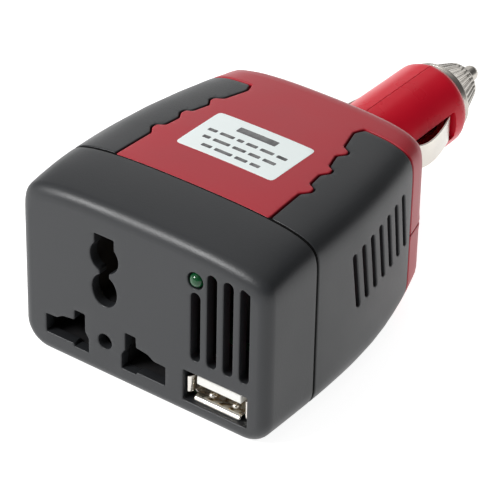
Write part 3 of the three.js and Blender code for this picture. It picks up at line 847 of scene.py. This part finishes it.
def rear_plate(wrap):
    """One shell's flat rear wall, let in a little behind the rounded rear edge.

    Its seam edge has a notch for each of the pivot bracket's ears.
    """
    ring = full_ring(BODY_LENGTH - REAR_ROUND, REAR_ROUND + 0.25, 200)
    cut = SHELL_SEAM + wrap.up * PLATE_GAP
    # Sorted apart from each other, these put the seam edge's ends about 4 mm inside the outline. On the
    # lower shell a slope joins the two, and the seam opens there by up to half a millimetre.
    widths, heights = (np.sort(column) for column in ring[ring[:, 0] > 0].T)
    w = float(np.interp(cut, heights, widths))
    line = [p for p in ring if (p[1] - cut) * wrap.up >= 0]
    line.sort(key=lambda p: math.atan2(p[1] - cut, p[0]) * wrap.up)
    z = EAR_Z[wrap.from_top]
    a, b = EAR_X
    notches = [(-b, cut), (-b, z), (-a, z), (-a, cut), (a, cut), (a, z), (b, z), (b, cut)]
    outline = np.vstack([[[w, cut]], line, [[-w, cut]], notches])
    return panel([outline], wall_at(BODY_LENGTH - 0.25, -1), 2.2, rim=0.2, step=2.5)


SCREWS = [(side * 11.0, y) for side in (-1, 1) for y in (20.5, 53.5)]


def screw_recess(x, y):
    """Where the underside opens round a case screw's head."""
    return np.array(arc(math.copysign(float(UNDER.at_x(abs(x), y)), x), y, 2.5, 2.5, 0, 350, 36))


def shell(wrap):
    recesses = [] if wrap.from_top else [screw_recess(x, y) for x, y in SCREWS]
    parts = [panel([soften(shell_outline(wrap), 0.45), *recesses], wrap, 2.6, step=1.5)]
    parts += [pocket_floor(wrap, side) for side in (-1, 1)]
    return joined(*parts, rear_plate(wrap))


# %% [markdown]
# ## The label
# A coated paper sticker lies on the top. Its print is replaced by plain bars: one broad bar for the
# heading and three rows of short ones, each a thin panel on the same surface.

# %% Label and its bars
LABEL_HALF = 11.9
LABEL_Y = (26.1, 40.9)


def on_top(x0, x1, y0, y1, corner):
    flat = soften([(x0, y0), (x1, y0), (x1, y1), (x0, y1)], corner)
    return np.array([(float(OVER.at_x(x, y)) if x else 0.0, y) for x, y in flat])


def lifted(height):
    return lambda flat, depth: OVER(flat, np.asarray(depth) - height)


paper = panel([on_top(-LABEL_HALF, LABEL_HALF, *LABEL_Y, 1.1)], lifted(0.04), 0.1, rim=0.03, step=1.2)
make("label_paper", *paper, "casing", "label_paper", PAPER, replaces=["label"])

# Each row of print: its place along the casing, its height and the lengths of its bars.
BARS = [
    (37.6, 1.9, [9.6]),
    (34.1, 1.0, [2.2, 3.4, 1.5, 2.6, 3.2, 2.4]),
    (31.3, 1.0, [1.8, 4.0, 3.1, 2.7, 3.0]),
    (28.5, 1.0, [2.4, 4.2, 2.9, 2.3]),
]


def printed_bars():
    parts = []
    for y, height, words in BARS:
        space = 0.8
        x = -(sum(words) + space * (len(words) - 1)) / 2
        for width in words:
            bar = on_top(x, x + width, y - height / 2, y + height / 2, 0.25)
            parts.append(panel([bar], lifted(0.048), 0.02, rim=0.006, step=1.0, rim_steps=1))
            x += width + space
    return joined(*parts)


make("label_print", *printed_bars(), "casing", "black_part", INK, even=False)

# %% [markdown]
# ## Turned parts
# The lamp, the pins, the nose cap and the tip are all round, so each is a profile turned about an
# axis, with its corners already rounded in the profile. Turning by code keeps the mesh closed and
# lets the radius be varied round the circle, which is how the knurl on the nose cap is cut.

# %% A turning helper
PLUG_Z = 19.5


def rounded(points, radius):
    """A profile with its inner corners rounded and its two ends kept."""
    points = np.array(points, dtype=float)
    bends = zip(points, points[1:], points[2:])
    inner = [p for corner in bends for p in bend(*corner, radius)]
    return np.array([points[0], *inner, points[-1]])


def turned(outline, count=64, axis="y", centre=(0.0, 0.0, PLUG_Z), waves=None, closed=False):
    """Turns (radius, distance along) pairs about an axis; waves(radius, along, angle) changes radii."""
    angle = np.linspace(0, 2 * math.pi, count, endpoint=False)
    rows = []
    for r, along in outline:
        radii = np.full(count, r) if waves is None else waves(r, along, angle)
        u, v, w = radii * np.cos(angle), radii * np.sin(angle), np.full(count, along)
        rows.append(np.column_stack({"y": (u, w, v), "x": (w, u, v), "z": (u, v, w)}[axis]))
    verts, faces = loft(rows, closed, caps=False)
    return verts + np.array(centre), faces


# %% [markdown]
# ## Shells and case screws
# The bottom shell is screwed to the top one from below. Each screw sits in a round recess, on the end
# of a hollow post, and has a domed head with a cross cut into it.

# %% Build the shells
def screw_post(x, y):
    """The hollow post that a screw's head rests on."""
    top = SHELL_SEAM - 0.3
    outline = rounded([(1.5, top), (1.5, 2.5), (2.85, 2.5), (2.85, top)], 0.1)
    return turned(outline, 32, axis="z", centre=(x, y, 0), closed=True)


make("top_shell_moulding", *shell(OVER), "casing", "red_plastic", RED, replaces=["top_shell"])
make("bottom_shell_moulding", *shell(UNDER), "casing", "red_plastic", RED, replaces=["bottom_shell"])
# The posts are the shell's red plastic; they are drawn black as painted shade, so that the inside seen
# through the vents stays dark.
make("screw_posts_painted_shade", *joined(*[screw_post(x, y) for x, y in SCREWS]), "casing", "black_part", BLACK)


# %% Case screws
def case_screw(x, y):
    """A pan head facing down, its cross recess pressed in, and a plain shank."""
    arm_half, recess_reach, recess_depth = 0.32, 1.4, 0.75
    head = [(r, 1.12 + 0.012 * r * r) for r in np.linspace(0.002, 1.9, 24)]
    outline = head + [(2.1, 1.25), (2.2, 1.45), (2.2, 2.3), (1.2, 2.4), (1.2, 12.0), (0.002, 12.0)]
    verts, faces = turned(outline, 96, axis="z", centre=(0, 0, 0))
    out = np.hypot(verts[:, 0], verts[:, 1])
    arm = np.clip((arm_half - np.abs(verts[:, :2]).min(axis=1)) / 0.1, 0, 1)
    end = np.clip((recess_reach - out) / 0.2, 0, 1)
    verts[:, 2] += np.where(verts[:, 2] < 1.3, recess_depth * arm * end, 0.0)
    return verts + np.array([x, y, 0]), faces


for i, (x, y) in enumerate(sorted(SCREWS, key=lambda screw: screw[1])):
    make(f"screw_{i + 1}", *case_screw(x, y), "casing", "nickel", NICKEL, replaces=[f"case_screw_{i + 1}"])

# %% [markdown]
# ## Lamp and USB socket
# The indicator is a 3 mm resin dome standing just proud of the face. The USB socket is a folded
# nickel shell with a flared lip and two spring dimples on its lower wall, round a white tongue that
# carries four contacts.

# %% Lamp
def lamp_dome():
    r, tip = LAMP_R, -0.6
    dome = [(0.0001, tip)] + [(r * math.sin(t), tip + r * (1 - math.cos(t)))
                              for t in np.linspace(0.15, math.pi / 2, 12)]
    outline = dome + [(r, 4.6), (r + 0.15, 4.8), (r + 0.15, 5.2), (0.0001, 5.3)]
    return turned(outline, 40, centre=(LAMP_X, 0.0, LAMP_Z))


make("lamp_dome", *lamp_dome(), "casing", "lamp", LAMP, replaces=["indicator_lamp"])

# %% USB shell, tongue and contacts
USB_X, USB_Z = (11.2, 24.6), (4.5, 10.3)


def box_ring(x0, x1, z0, z1, r, inset, y):
    """A rounded rectangle standing at y, drawn in by an inset all round."""
    left, right, low, high = x0 + inset + r, x1 - inset - r, z0 + inset + r, z1 - inset - r
    ring = []
    for k, (cx, cz) in enumerate(((right, high), (left, high), (left, low), (right, low))):
        ring += [(x, y, z) for x, z in arc(cx, cz, r, r, 90 * k, 90 * k + 90, 4)]
    return ring


def usb_shell():
    """Rings from the outer wall, round its front edge, back along the inner wall to its floor."""
    steps = [(0.0, 12.9), (0.0, 2.9), (0.06, 2.8), (0.3, 2.8), (0.4, 2.9), (0.4, 12.4)]
    return loft([box_ring(*USB_X, *USB_Z, 0.6 - 0.6 * inset, inset, y) for inset, y in steps])


def flap(start, along, out, length):
    """A lip of sheet flared outward: start is the middle of its root, along its edge, out its lean."""
    line = np.array([(-0.27, 3.4), (-0.27, 2.2), (-0.12, 1.7), (0.18, 1.34), (0.56, 1.14)])
    on = np.gradient(line, axis=0)
    on /= np.linalg.norm(on, axis=1, keepdims=True)
    side = np.column_stack([-on[:, 1], on[:, 0]]) * 0.15
    section = np.vstack([line + side, (line - side)[::-1]])
    middle = section.mean(axis=0)
    start, along, out = (np.array(v, dtype=float) for v in (start, along, out))
    rows = []
    for t, size in ((-0.5, 0.85), (-0.46, 1.0), (0.46, 1.0), (0.5, 0.85)):
        shape = middle + (section - middle) * size
        base = start + along * length * t
        rows.append(base + shape[:, :1] * out + shape[:, 1:] * np.array([0.0, 1.0, 0.0]))
    return loft(rows)


def spring_dimple(x, z):
    """A round spring pressed up from the shell's lower wall."""
    outline = [(0.0001, 0.7)] + [(0.95 * math.sin(t), 0.7 * math.cos(t)) for t in np.linspace(0.2, 1.5, 8)]
    return turned(outline + [(1.0, -0.1)], 24, axis="z", centre=(x, 3.7, z))


x_mid, z_mid = sum(USB_X) / 2, sum(USB_Z) / 2
flaps = [flap((USB_X[side > 0], 0, z_mid - 0.3), (0, 0, 1), (side, 0, 0), 3.8) for side in (-1, 1)]
flaps += [flap((x_mid - 0.15, 0, USB_Z[0]), (1, 0, 0), (0, 0, -1), 11.4),
          flap((x_mid - 0.15, 0, USB_Z[1]), (1, 0, 0), (0, 0, 1), 11.4)]
dimples = [spring_dimple(x_mid + dx, USB_Z[0] + 0.4) for dx in (-2.85, 2.85)]
make("usb_shell_folded", *joined(usb_shell(), *flaps, *dimples), "casing", "nickel", BRIGHT,
     replaces=["usb_shell"])


def block(x0, x1, y0, y1, z0, z1, r, side_r=0.1):
    """A small moulded block: a rounded outline in front view with a softened front."""
    levels = [(0.0, y1), (0.0, y0 + side_r), (side_r * 0.3, y0 + side_r * 0.3), (side_r, y0)]
    return loft([box_ring(x0, x1, z0, z1, max(r - inset, 0.02), inset, y) for inset, y in levels])


tongue = block(USB_X[0] + 1.3, USB_X[1] - 1.3, 1.6, 12.0, USB_Z[1] - 2.8, USB_Z[1] - 0.8, 0.25, 0.3)
make("usb_tongue_moulding", *tongue, "casing", "white_plastic", WHITE, replaces=["usb_tongue"])
for i in range(4):
    x = x_mid + 2.5 * (i - 1.5)
    blade = block(x - 0.5, x + 0.5, 2.6, 11.0, USB_Z[1] - 3.15, USB_Z[1] - 2.78, 0.06, 0.15)
    make(f"usb_blade_{i + 1}", *blade, "casing", "brass", GOLD, replaces=[f"usb_contact_{i + 1}"])

# %% [markdown]
# ## The folding plug
# The barrel is moulded in two halves that meet on its top and bottom lines. It is turned in form, but
# its root is rounded about the folding axis as well, so that it clears the casing. Each half is a
# panel again: drawn flat as distance round and distance along, with the side contact's window in it.

# %% Barrel surface
PIVOT_Y = 73.0
BARREL_R = 9.9
BARREL_END = 101.8
ROOT = BARREL_R * math.pi / 2  # distance along from the root's tip to the pivot's plane
END_ROUND = 1.1
TAPER, TAPER_FROM = 0.25, 80.0  # how much thinner the barrel's end is, and where that starts
STRAIGHT_END = BARREL_END - END_ROUND


def barrel_station(q):
    """Where a distance along the barrel's outline is: (y, radius, half height left by the root)."""
    if q < ROOT:
        angle = (ROOT - q) / BARREL_R
        return PIVOT_Y - BARREL_R * math.sin(angle), BARREL_R, BARREL_R * math.cos(angle)
    y = PIVOT_Y + q - ROOT
    if y < STRAIGHT_END:
        return y, BARREL_R - TAPER * share(y, TAPER_FROM, STRAIGHT_END), BARREL_R
    angle = min((y - STRAIGHT_END) / END_ROUND, math.pi / 2)
    flat = max(0.0, (y - STRAIGHT_END) - END_ROUND * math.pi / 2)
    radius = BARREL_R - TAPER - END_ROUND * (1 - math.cos(angle)) - flat
    return STRAIGHT_END + END_ROUND * math.sin(angle), radius, BARREL_R


def barrel_surface(side):
    def surface(flat, depth):
        out = []
        for (a, q), d in zip(np.asarray(flat), np.reshape(depth, -1)):
            y, r, h = barrel_station(q)
            angle = a / BARREL_R
            on_side = y < STRAIGHT_END
            if y > STRAIGHT_END and r < BARREL_R - TAPER:
                turned_in = min(1.0, (BARREL_R - TAPER - r) / END_ROUND)
                y, radius = y - d * turned_in, r - d * (1 - turned_in)
            else:
                radius = r - d
            cap = max(h - d, 0.05 * h)
            z = max(-cap, min(cap, radius * math.cos(angle)))
            x = radius * math.sin(angle)
            if on_side:  # the window's walls run straight in, not towards the axis
                straight = min(1.0, max(0.0, (math.sin(angle) - 0.75) / 0.15))
                x += straight * (r * math.sin(angle) - d - x)
                z += straight * (max(-h, min(h, r * math.cos(angle))) - z)
            back = d if q < 0.35 * ROOT else 0.0
            out.append((side * x, y + back * 0.5, PLUG_Z + z))
        return np.array(out)

    return surface


WINDOW_Y = (79.2, 97.1)
WINDOW_HALF = BARREL_R * math.asin(3.3 / BARREL_R)
HALF_TURN = BARREL_R * math.pi
BARREL_STOP = ROOT + (STRAIGHT_END - PIVOT_Y) + END_ROUND * math.pi / 2 + 3.0


def barrel_half(side):
    edge, root_end, middle = 0.03, 1.8, HALF_TURN / 2  # edge: how far a half stays from the parting line
    outline = [(edge, root_end), (HALF_TURN - edge, root_end), (HALF_TURN - edge, BARREL_STOP),
               (edge, BARREL_STOP)]
    q0, q1 = (ROOT + y - PIVOT_Y for y in WINDOW_Y)
    window = soften([(middle - WINDOW_HALF, q0), (middle + WINDOW_HALF, q0),
                     (middle + WINDOW_HALF, q1), (middle - WINDOW_HALF, q1)], 0.5)
    pin_hole = np.array(arc(middle, ROOT, 2.2, 2.2, 0, 345, 24))
    return panel([refine(outline, 0.6), window, pin_hole], barrel_surface(side), 4.6, rim=0.1, step=1.1)


for side, name in SIDES:
    make(f"barrel_half_{name}", *barrel_half(side), "plug", "plug_red", BARREL,
         replaces=[f"plug_half_{name}"])

# %% [markdown]
# Inside the halves sits a core that closes the contact windows, and ahead of it the threaded spigot
# that the nose cap screws onto. The thread shows when the cap is run out.

# %% Core and threaded spigot
core = rounded([(0.01, 66.5), (3.6, 66.5), (4.75, 70), (4.75, 101.4), (3.75, 101.4), (3.75, 96.0)], 0.2)
make("barrel_core", *turned(core, 40), "plug", "plug_red", BARREL_INSIDE)


def spigot():
    """A short tube with one thread cut round it."""
    radius, start, stop, pitch, depth = 5.75, 102.0, 105.9, 1.0, 0.42

    def helix(r, along, angle):
        if r > 5.2 and start <= along <= stop:
            phase = (along - start - angle / (2 * math.pi) * pitch) % pitch
            return radius - np.interp(phase, [0, 0.2, 0.45, 0.65, 1.0], [0, 0, depth, depth, 0])
        return np.full(len(angle), r)

    threaded = [(radius, y) for y in np.arange(start, stop, 0.1)]
    end = [(5.6, 106.2), (5.3, 106.4), (4.0, 106.4), (3.65, 106.1), (3.65, 101.5)]
    return turned([(radius, 101.5), *threaded, *end], 72, waves=helix, closed=True)


make("barrel_spigot", *spigot(), "plug", "plug_red", BARREL)

# %% [markdown]
# ## Side contacts
# Each contact is a nickel strip bent to a crest that stands proud of the barrel. A strip is a
# centre line given thickness: its bends are rounded by walking a smooth curve through the corner
# points, and its long edges are broken with a bevel, as the press leaves them.

# %% Bent strips
def smooth_line(points):
    """Rounds a polyline's bends by cutting its corners twice, keeping the ends."""
    line = np.array(points, dtype=float)
    for _ in range(2):
        out = [line[0]]
        for a, b in zip(line, line[1:]):
            out += [a * 0.78 + b * 0.22, a * 0.22 + b * 0.78]
        line = np.array(out + [line[-1]])
    d = walked(line)
    even = np.linspace(0, d[-1], 6 * len(points))
    return np.column_stack([np.interp(even, d, line[:, k]) for k in (0, 1)])


def bent_strip(spine, thick, low, high):
    """A strip with (x, y) centre line spine, standing from z low to z high."""
    line = smooth_line(spine)
    on = np.gradient(line, axis=0)
    on /= np.linalg.norm(on, axis=1, keepdims=True)
    left = np.column_stack([-on[:, 1], on[:, 0]]) * thick / 2
    corner = 0.12
    section = [(1, low + corner), (1, high - corner), (0.5, high), (-0.5, high), (-1, high - corner),
               (-1, low + corner), (-0.5, low), (0.5, low)]
    return loft([[(x + dx * s, y + dy * s, z) for s, z in section]
                 for (x, y), (dx, dy) in zip(line, left)])


LEAF = [(7.4, 79.7), (8.6, 79.9), (10.2, 80.9), (11.2, 82.5), (11.5, 84.4), (11.35, 86.8), (10.9, 89.4),
        (10.2, 92.2), (9.3, 95.0), (8.4, 96.3), (7.4, 96.5)]
for side, name in SIDES:
    verts, faces = bent_strip([(side * (x - 0.2), y) for x, y in LEAF], 0.5, PLUG_Z - 2.9, PLUG_Z + 2.9)
    make(f"contact_leaf_{name}", verts, faces, f"side_contact_{name}", "nickel", BRIGHT,
         replaces=[f"side_contact_{name}"])

# %% [markdown]
# ## Nose cap and tip
# The nickel nose cap unscrews to free the fuse. It has a plain collar, a bright raised lip, and a cone
# cut with straight knurls so that fingers can grip it. The sprung tip runs through its end.

# %% Nose cap
KNURLS = 34


def knurled(r, along, angle):
    """Straight grooves on the cone only, fading out at its two ends."""
    start, stop, depth = 104.9, 112.0, 0.42
    if not start <= along <= stop or r < 4.4:
        return np.full(len(angle), r)
    fade = min(1.0, (along - start) / 0.5, (stop - along) / 0.5)
    wave = np.clip(0.5 + 0.9 * np.cos(KNURLS * angle), 0.0, 1.0)
    return r - depth * fade * (1.0 - wave)


def nose_cap():
    cone = [(7.6 - 2.8 * t, 104.5 + 7.9 * t) for t in np.linspace(0.02, 0.98, 26)]
    outer = rounded([(6.2, 102.1), (8.15, 102.1), (8.1, 103.4), (8.35, 103.6), (8.35, 104.2),
                     (7.65, 104.45)], 0.16)
    end = rounded([(4.8, 112.45), (3.9, 113.4), (2.2, 113.4), (2.2, 110.8), (4.0, 108.5), (6.15, 108.1),
                   (6.15, 102.2)], 0.35)
    return turned([*outer, *cone, *end], KNURLS * 8, waves=knurled, closed=True)


make("nose_cap_turned", *nose_cap(), "nose_cap", "nickel", NICKEL, replaces=["nose_cap"])

# %% Tip pin
def tip_pin():
    r, end = 1.85, 119.2
    dome = [(r * math.cos(t), end - r + r * math.sin(t)) for t in np.linspace(0.05, math.pi / 2 - 0.02, 12)]
    outline = rounded([(0.01, 100.8), (3.15, 100.8), (3.15, 102.5), (r, 102.5), (r, end - r)], 0.15)
    return turned([*outline, *dome, (0.002, end)], 48)


make("tip_pin_turned", *tip_pin(), "tip", "nickel", NICKEL, replaces=["tip_pin"])

# %% [markdown]
# ## Pivot
# Two ears come out of the rear wall and carry the plug on a pair of shouldered pins. The bracket's
# plate stays inside the casing. Each ear is a flat panel with rounded edges.

# %% Bracket and pins
def ear_panel(side):
    """One ear: a plate in y and z, its thickness across x."""
    r, start = 5.6, 57.6
    low, high = PLUG_Z - r, PLUG_Z + r
    nose = arc(PIVOT_Y, PLUG_Z, r, r, -80, 80, 22)
    outline = [(start, low), (PIVOT_Y, low), *nose, (PIVOT_Y, high), (start, high)]
    hole = np.array(arc(PIVOT_Y, PLUG_Z, 2.15, 2.15, 0, 345, 24))

    def sheet(flat, depth):
        x = 11.9 - np.reshape(depth, -1)
        return np.column_stack([side * x, flat[:, 0], flat[:, 1]])

    return panel([refine(outline, 1.0), hole], sheet, 1.6, rim=0.35, step=1.6)


def bracket_plate():
    outline = soften([(-13.4, 11), (13.4, 11), (13.4, 29), (-13.4, 29)], 1.2)
    holes = [np.array(arc(x, PLUG_Z, 1.6, 1.6, 0, 345, 16)) for x in (-4, 4)]
    return panel([outline, *holes], wall_at(56.4, 1), 2.0, step=2.5)


make("pivot_bracket_moulding", *joined(ear_panel(-1), ear_panel(1), bracket_plate()), "casing",
     "dark_plastic", DARK, replaces=["pivot_bracket"])


def pivot_pin(side):
    """A shouldered pin with a slot across its head."""
    outline = [(0.01, 7.6), (1.6, 7.6), (1.9, 7.9), (1.9, 12.15), (3.0, 12.15), (3.0, 12.75),
               (2.5, 13.0), (0.01, 13.0)]
    slot_half, slot_depth = 0.45, 0.45
    verts, faces = turned(rounded(outline, 0.15), 48, axis="x", centre=(0, 0, 0))
    slotted = (np.abs(verts[:, 2]) < slot_half) & (verts[:, 0] > 12.9)
    verts[slotted, 0] -= slot_depth
    return verts * [side, 1, 1] + np.array([0, PIVOT_Y, PLUG_Z]), faces


for side, name in SIDES:
    make(f"pin_{name}", *pivot_pin(side), "casing", "nickel", NICKEL, replaces=[f"pivot_pin_{name}"])

# %% [markdown]
# ## What shows through the openings
# The carrier, board and parts behind the vents keep the frame's own solids: they are seen only as
# glimpses through slots. Each gets the finish that it has in reality.

# %% Finishes for the frame's own pieces
INNER = {
    "socket_carrier": BLACK, "live_contact": BRASS, "neutral_contact": BRASS, "earth_contact": BRASS,
    "usb_board": BOARD, "main_board": BOARD, "transformer_core": FERRITE, "transformer_winding": COPPER,
    "choke": COPPER, "buzzer": BLACK, "control_chip": BLACK, "positive_lead": WIRE_RED,
    "negative_lead": BLACK, "fuse_tube": GLASS, "fuse_cap_rear": NICKEL, "fuse_cap_front": NICKEL,
    "tip_spring": NICKEL, "cap_washer": WHITE,
}
for _, name in SIDES:
    INNER[f"heat_sink_{name}"] = ALUMINIUM
    for node in (f"capacitor_{name}", f"transistor_{name}_1", f"transistor_{name}_2"):
        INNER[node] = BLACK
for node, material in INNER.items():
    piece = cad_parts[node]
    piece.data.materials.clear()
    piece.data.materials.append(material)
print("frame pieces given a finish:", len(INNER))

# %% [markdown]
# ## Floor, light and camera
# The object stands on a plain pale floor under broad soft lights, and the camera looks down on the
# socket end from the right.

# %% Stage
# Brightness of the studio by height: a bright strip at the floor, dark walls, a bright ceiling.
SKY = [(0.0, 1.5), (0.1, 1.4), (0.2, 0.36), (0.6, 0.36), (0.95, 0.95)]
RIGHT_WALL = 0.3  # how bright the right is beside the left


def pale_floor():
    """A plain floor, a hair below the underside so that the two don't share a plane."""
    span, z = 2.0, -0.0002
    mesh = bpy.data.meshes.new("floor")
    corners = [(-span, -span, z), (span, -span, z), (span, span, z), (-span, span, z)]
    mesh.from_pydata(corners, [], [(0, 1, 2, 3)])
    floor = bpy.data.objects.new("floor", mesh)
    bpy.context.scene.collection.objects.link(floor)
    material, tree, shader = start_material("pale_floor")
    shader.inputs["Base Color"].default_value = (0.5, 0.5, 0.5, 1)
    shader.inputs["Roughness"].default_value = 0.6
    shader.inputs["Emission Color"].default_value = (1.0, 1.0, 1.0, 1)
    shader.inputs["Emission Strength"].default_value = 0.9
    mesh.materials.append(material)


def studio():
    """Soft light from all round, brighter from the left than from the right."""
    world = bpy.data.worlds.new("studio")
    world.use_nodes = True
    tree = world.node_tree
    where = tree.nodes.new("ShaderNodeTexCoord")
    split = tree.nodes.new("ShaderNodeSeparateXYZ")
    tree.links.new(where.outputs["Generated"], split.inputs[0])
    height = tree.nodes.new("ShaderNodeValToRGB")
    tree.links.new(split.outputs["Z"], height.inputs["Fac"])
    stops = height.color_ramp.elements
    while len(stops) < len(SKY):
        stops.new(0.5)
    for stop, (z, bright) in zip(stops, SKY):
        stop.position, stop.color = z, (bright, bright, bright, 1)
    across = ranged(tree, split.outputs["X"], -0.4, 0.4, 1.0, RIGHT_WALL)
    strength = maths(tree, "MULTIPLY", height.outputs["Color"], across)
    tree.links.new(strength, tree.nodes["Background"].inputs["Strength"])
    tree.nodes["Background"].inputs["Color"].default_value = (1.0, 1.0, 1.0, 1)
    bpy.context.scene.world = world


def area_light(name, position, target, size, power):
    data = bpy.data.lights.new(name, "AREA")
    data.shape = "RECTANGLE"
    data.size, data.size_y = size
    data.energy = power
    lamp = bpy.data.objects.new(name, data)
    lamp.location = position
    aim = Vector(target) - Vector(position)
    lamp.rotation_euler = aim.to_track_quat("-Z", "Y").to_euler()
    bpy.context.scene.collection.objects.link(lamp)


def camera():
    """At the front right, looking down on the sockets, a long lens with a slight roll."""
    data = bpy.data.cameras.new("view")
    data.sensor_width = 36.0
    data.lens = 211.458
    data.clip_start, data.clip_end = 0.01, 10.0
    eye = bpy.data.objects.new("view", data)
    back = Vector((0.48557218, -0.67239790, 0.55865970))
    up = Vector((-0.34438855, 0.44024301, 0.82920601))
    right = up.cross(back).normalized()
    turn = Matrix((right, up, back)).transposed().to_4x4()
    position = Vector(place([(290.144, -366.009, 349.558)])[0])
    eye.matrix_world = Matrix.Translation(position) @ turn
    bpy.context.scene.collection.objects.link(eye)
    bpy.context.scene.camera = eye


pale_floor()
studio()
area_light("key", (-0.41, -0.62, 0.55), (0, 0, 0.02), (0.38, 0.135), 6.3)
area_light("rear_left", (-0.5, 0.7, 0.6), (0, 0, 0.02), (0.8, 0.8), 1.0)
bpy.context.scene.view_settings.view_transform = "Standard"
camera()
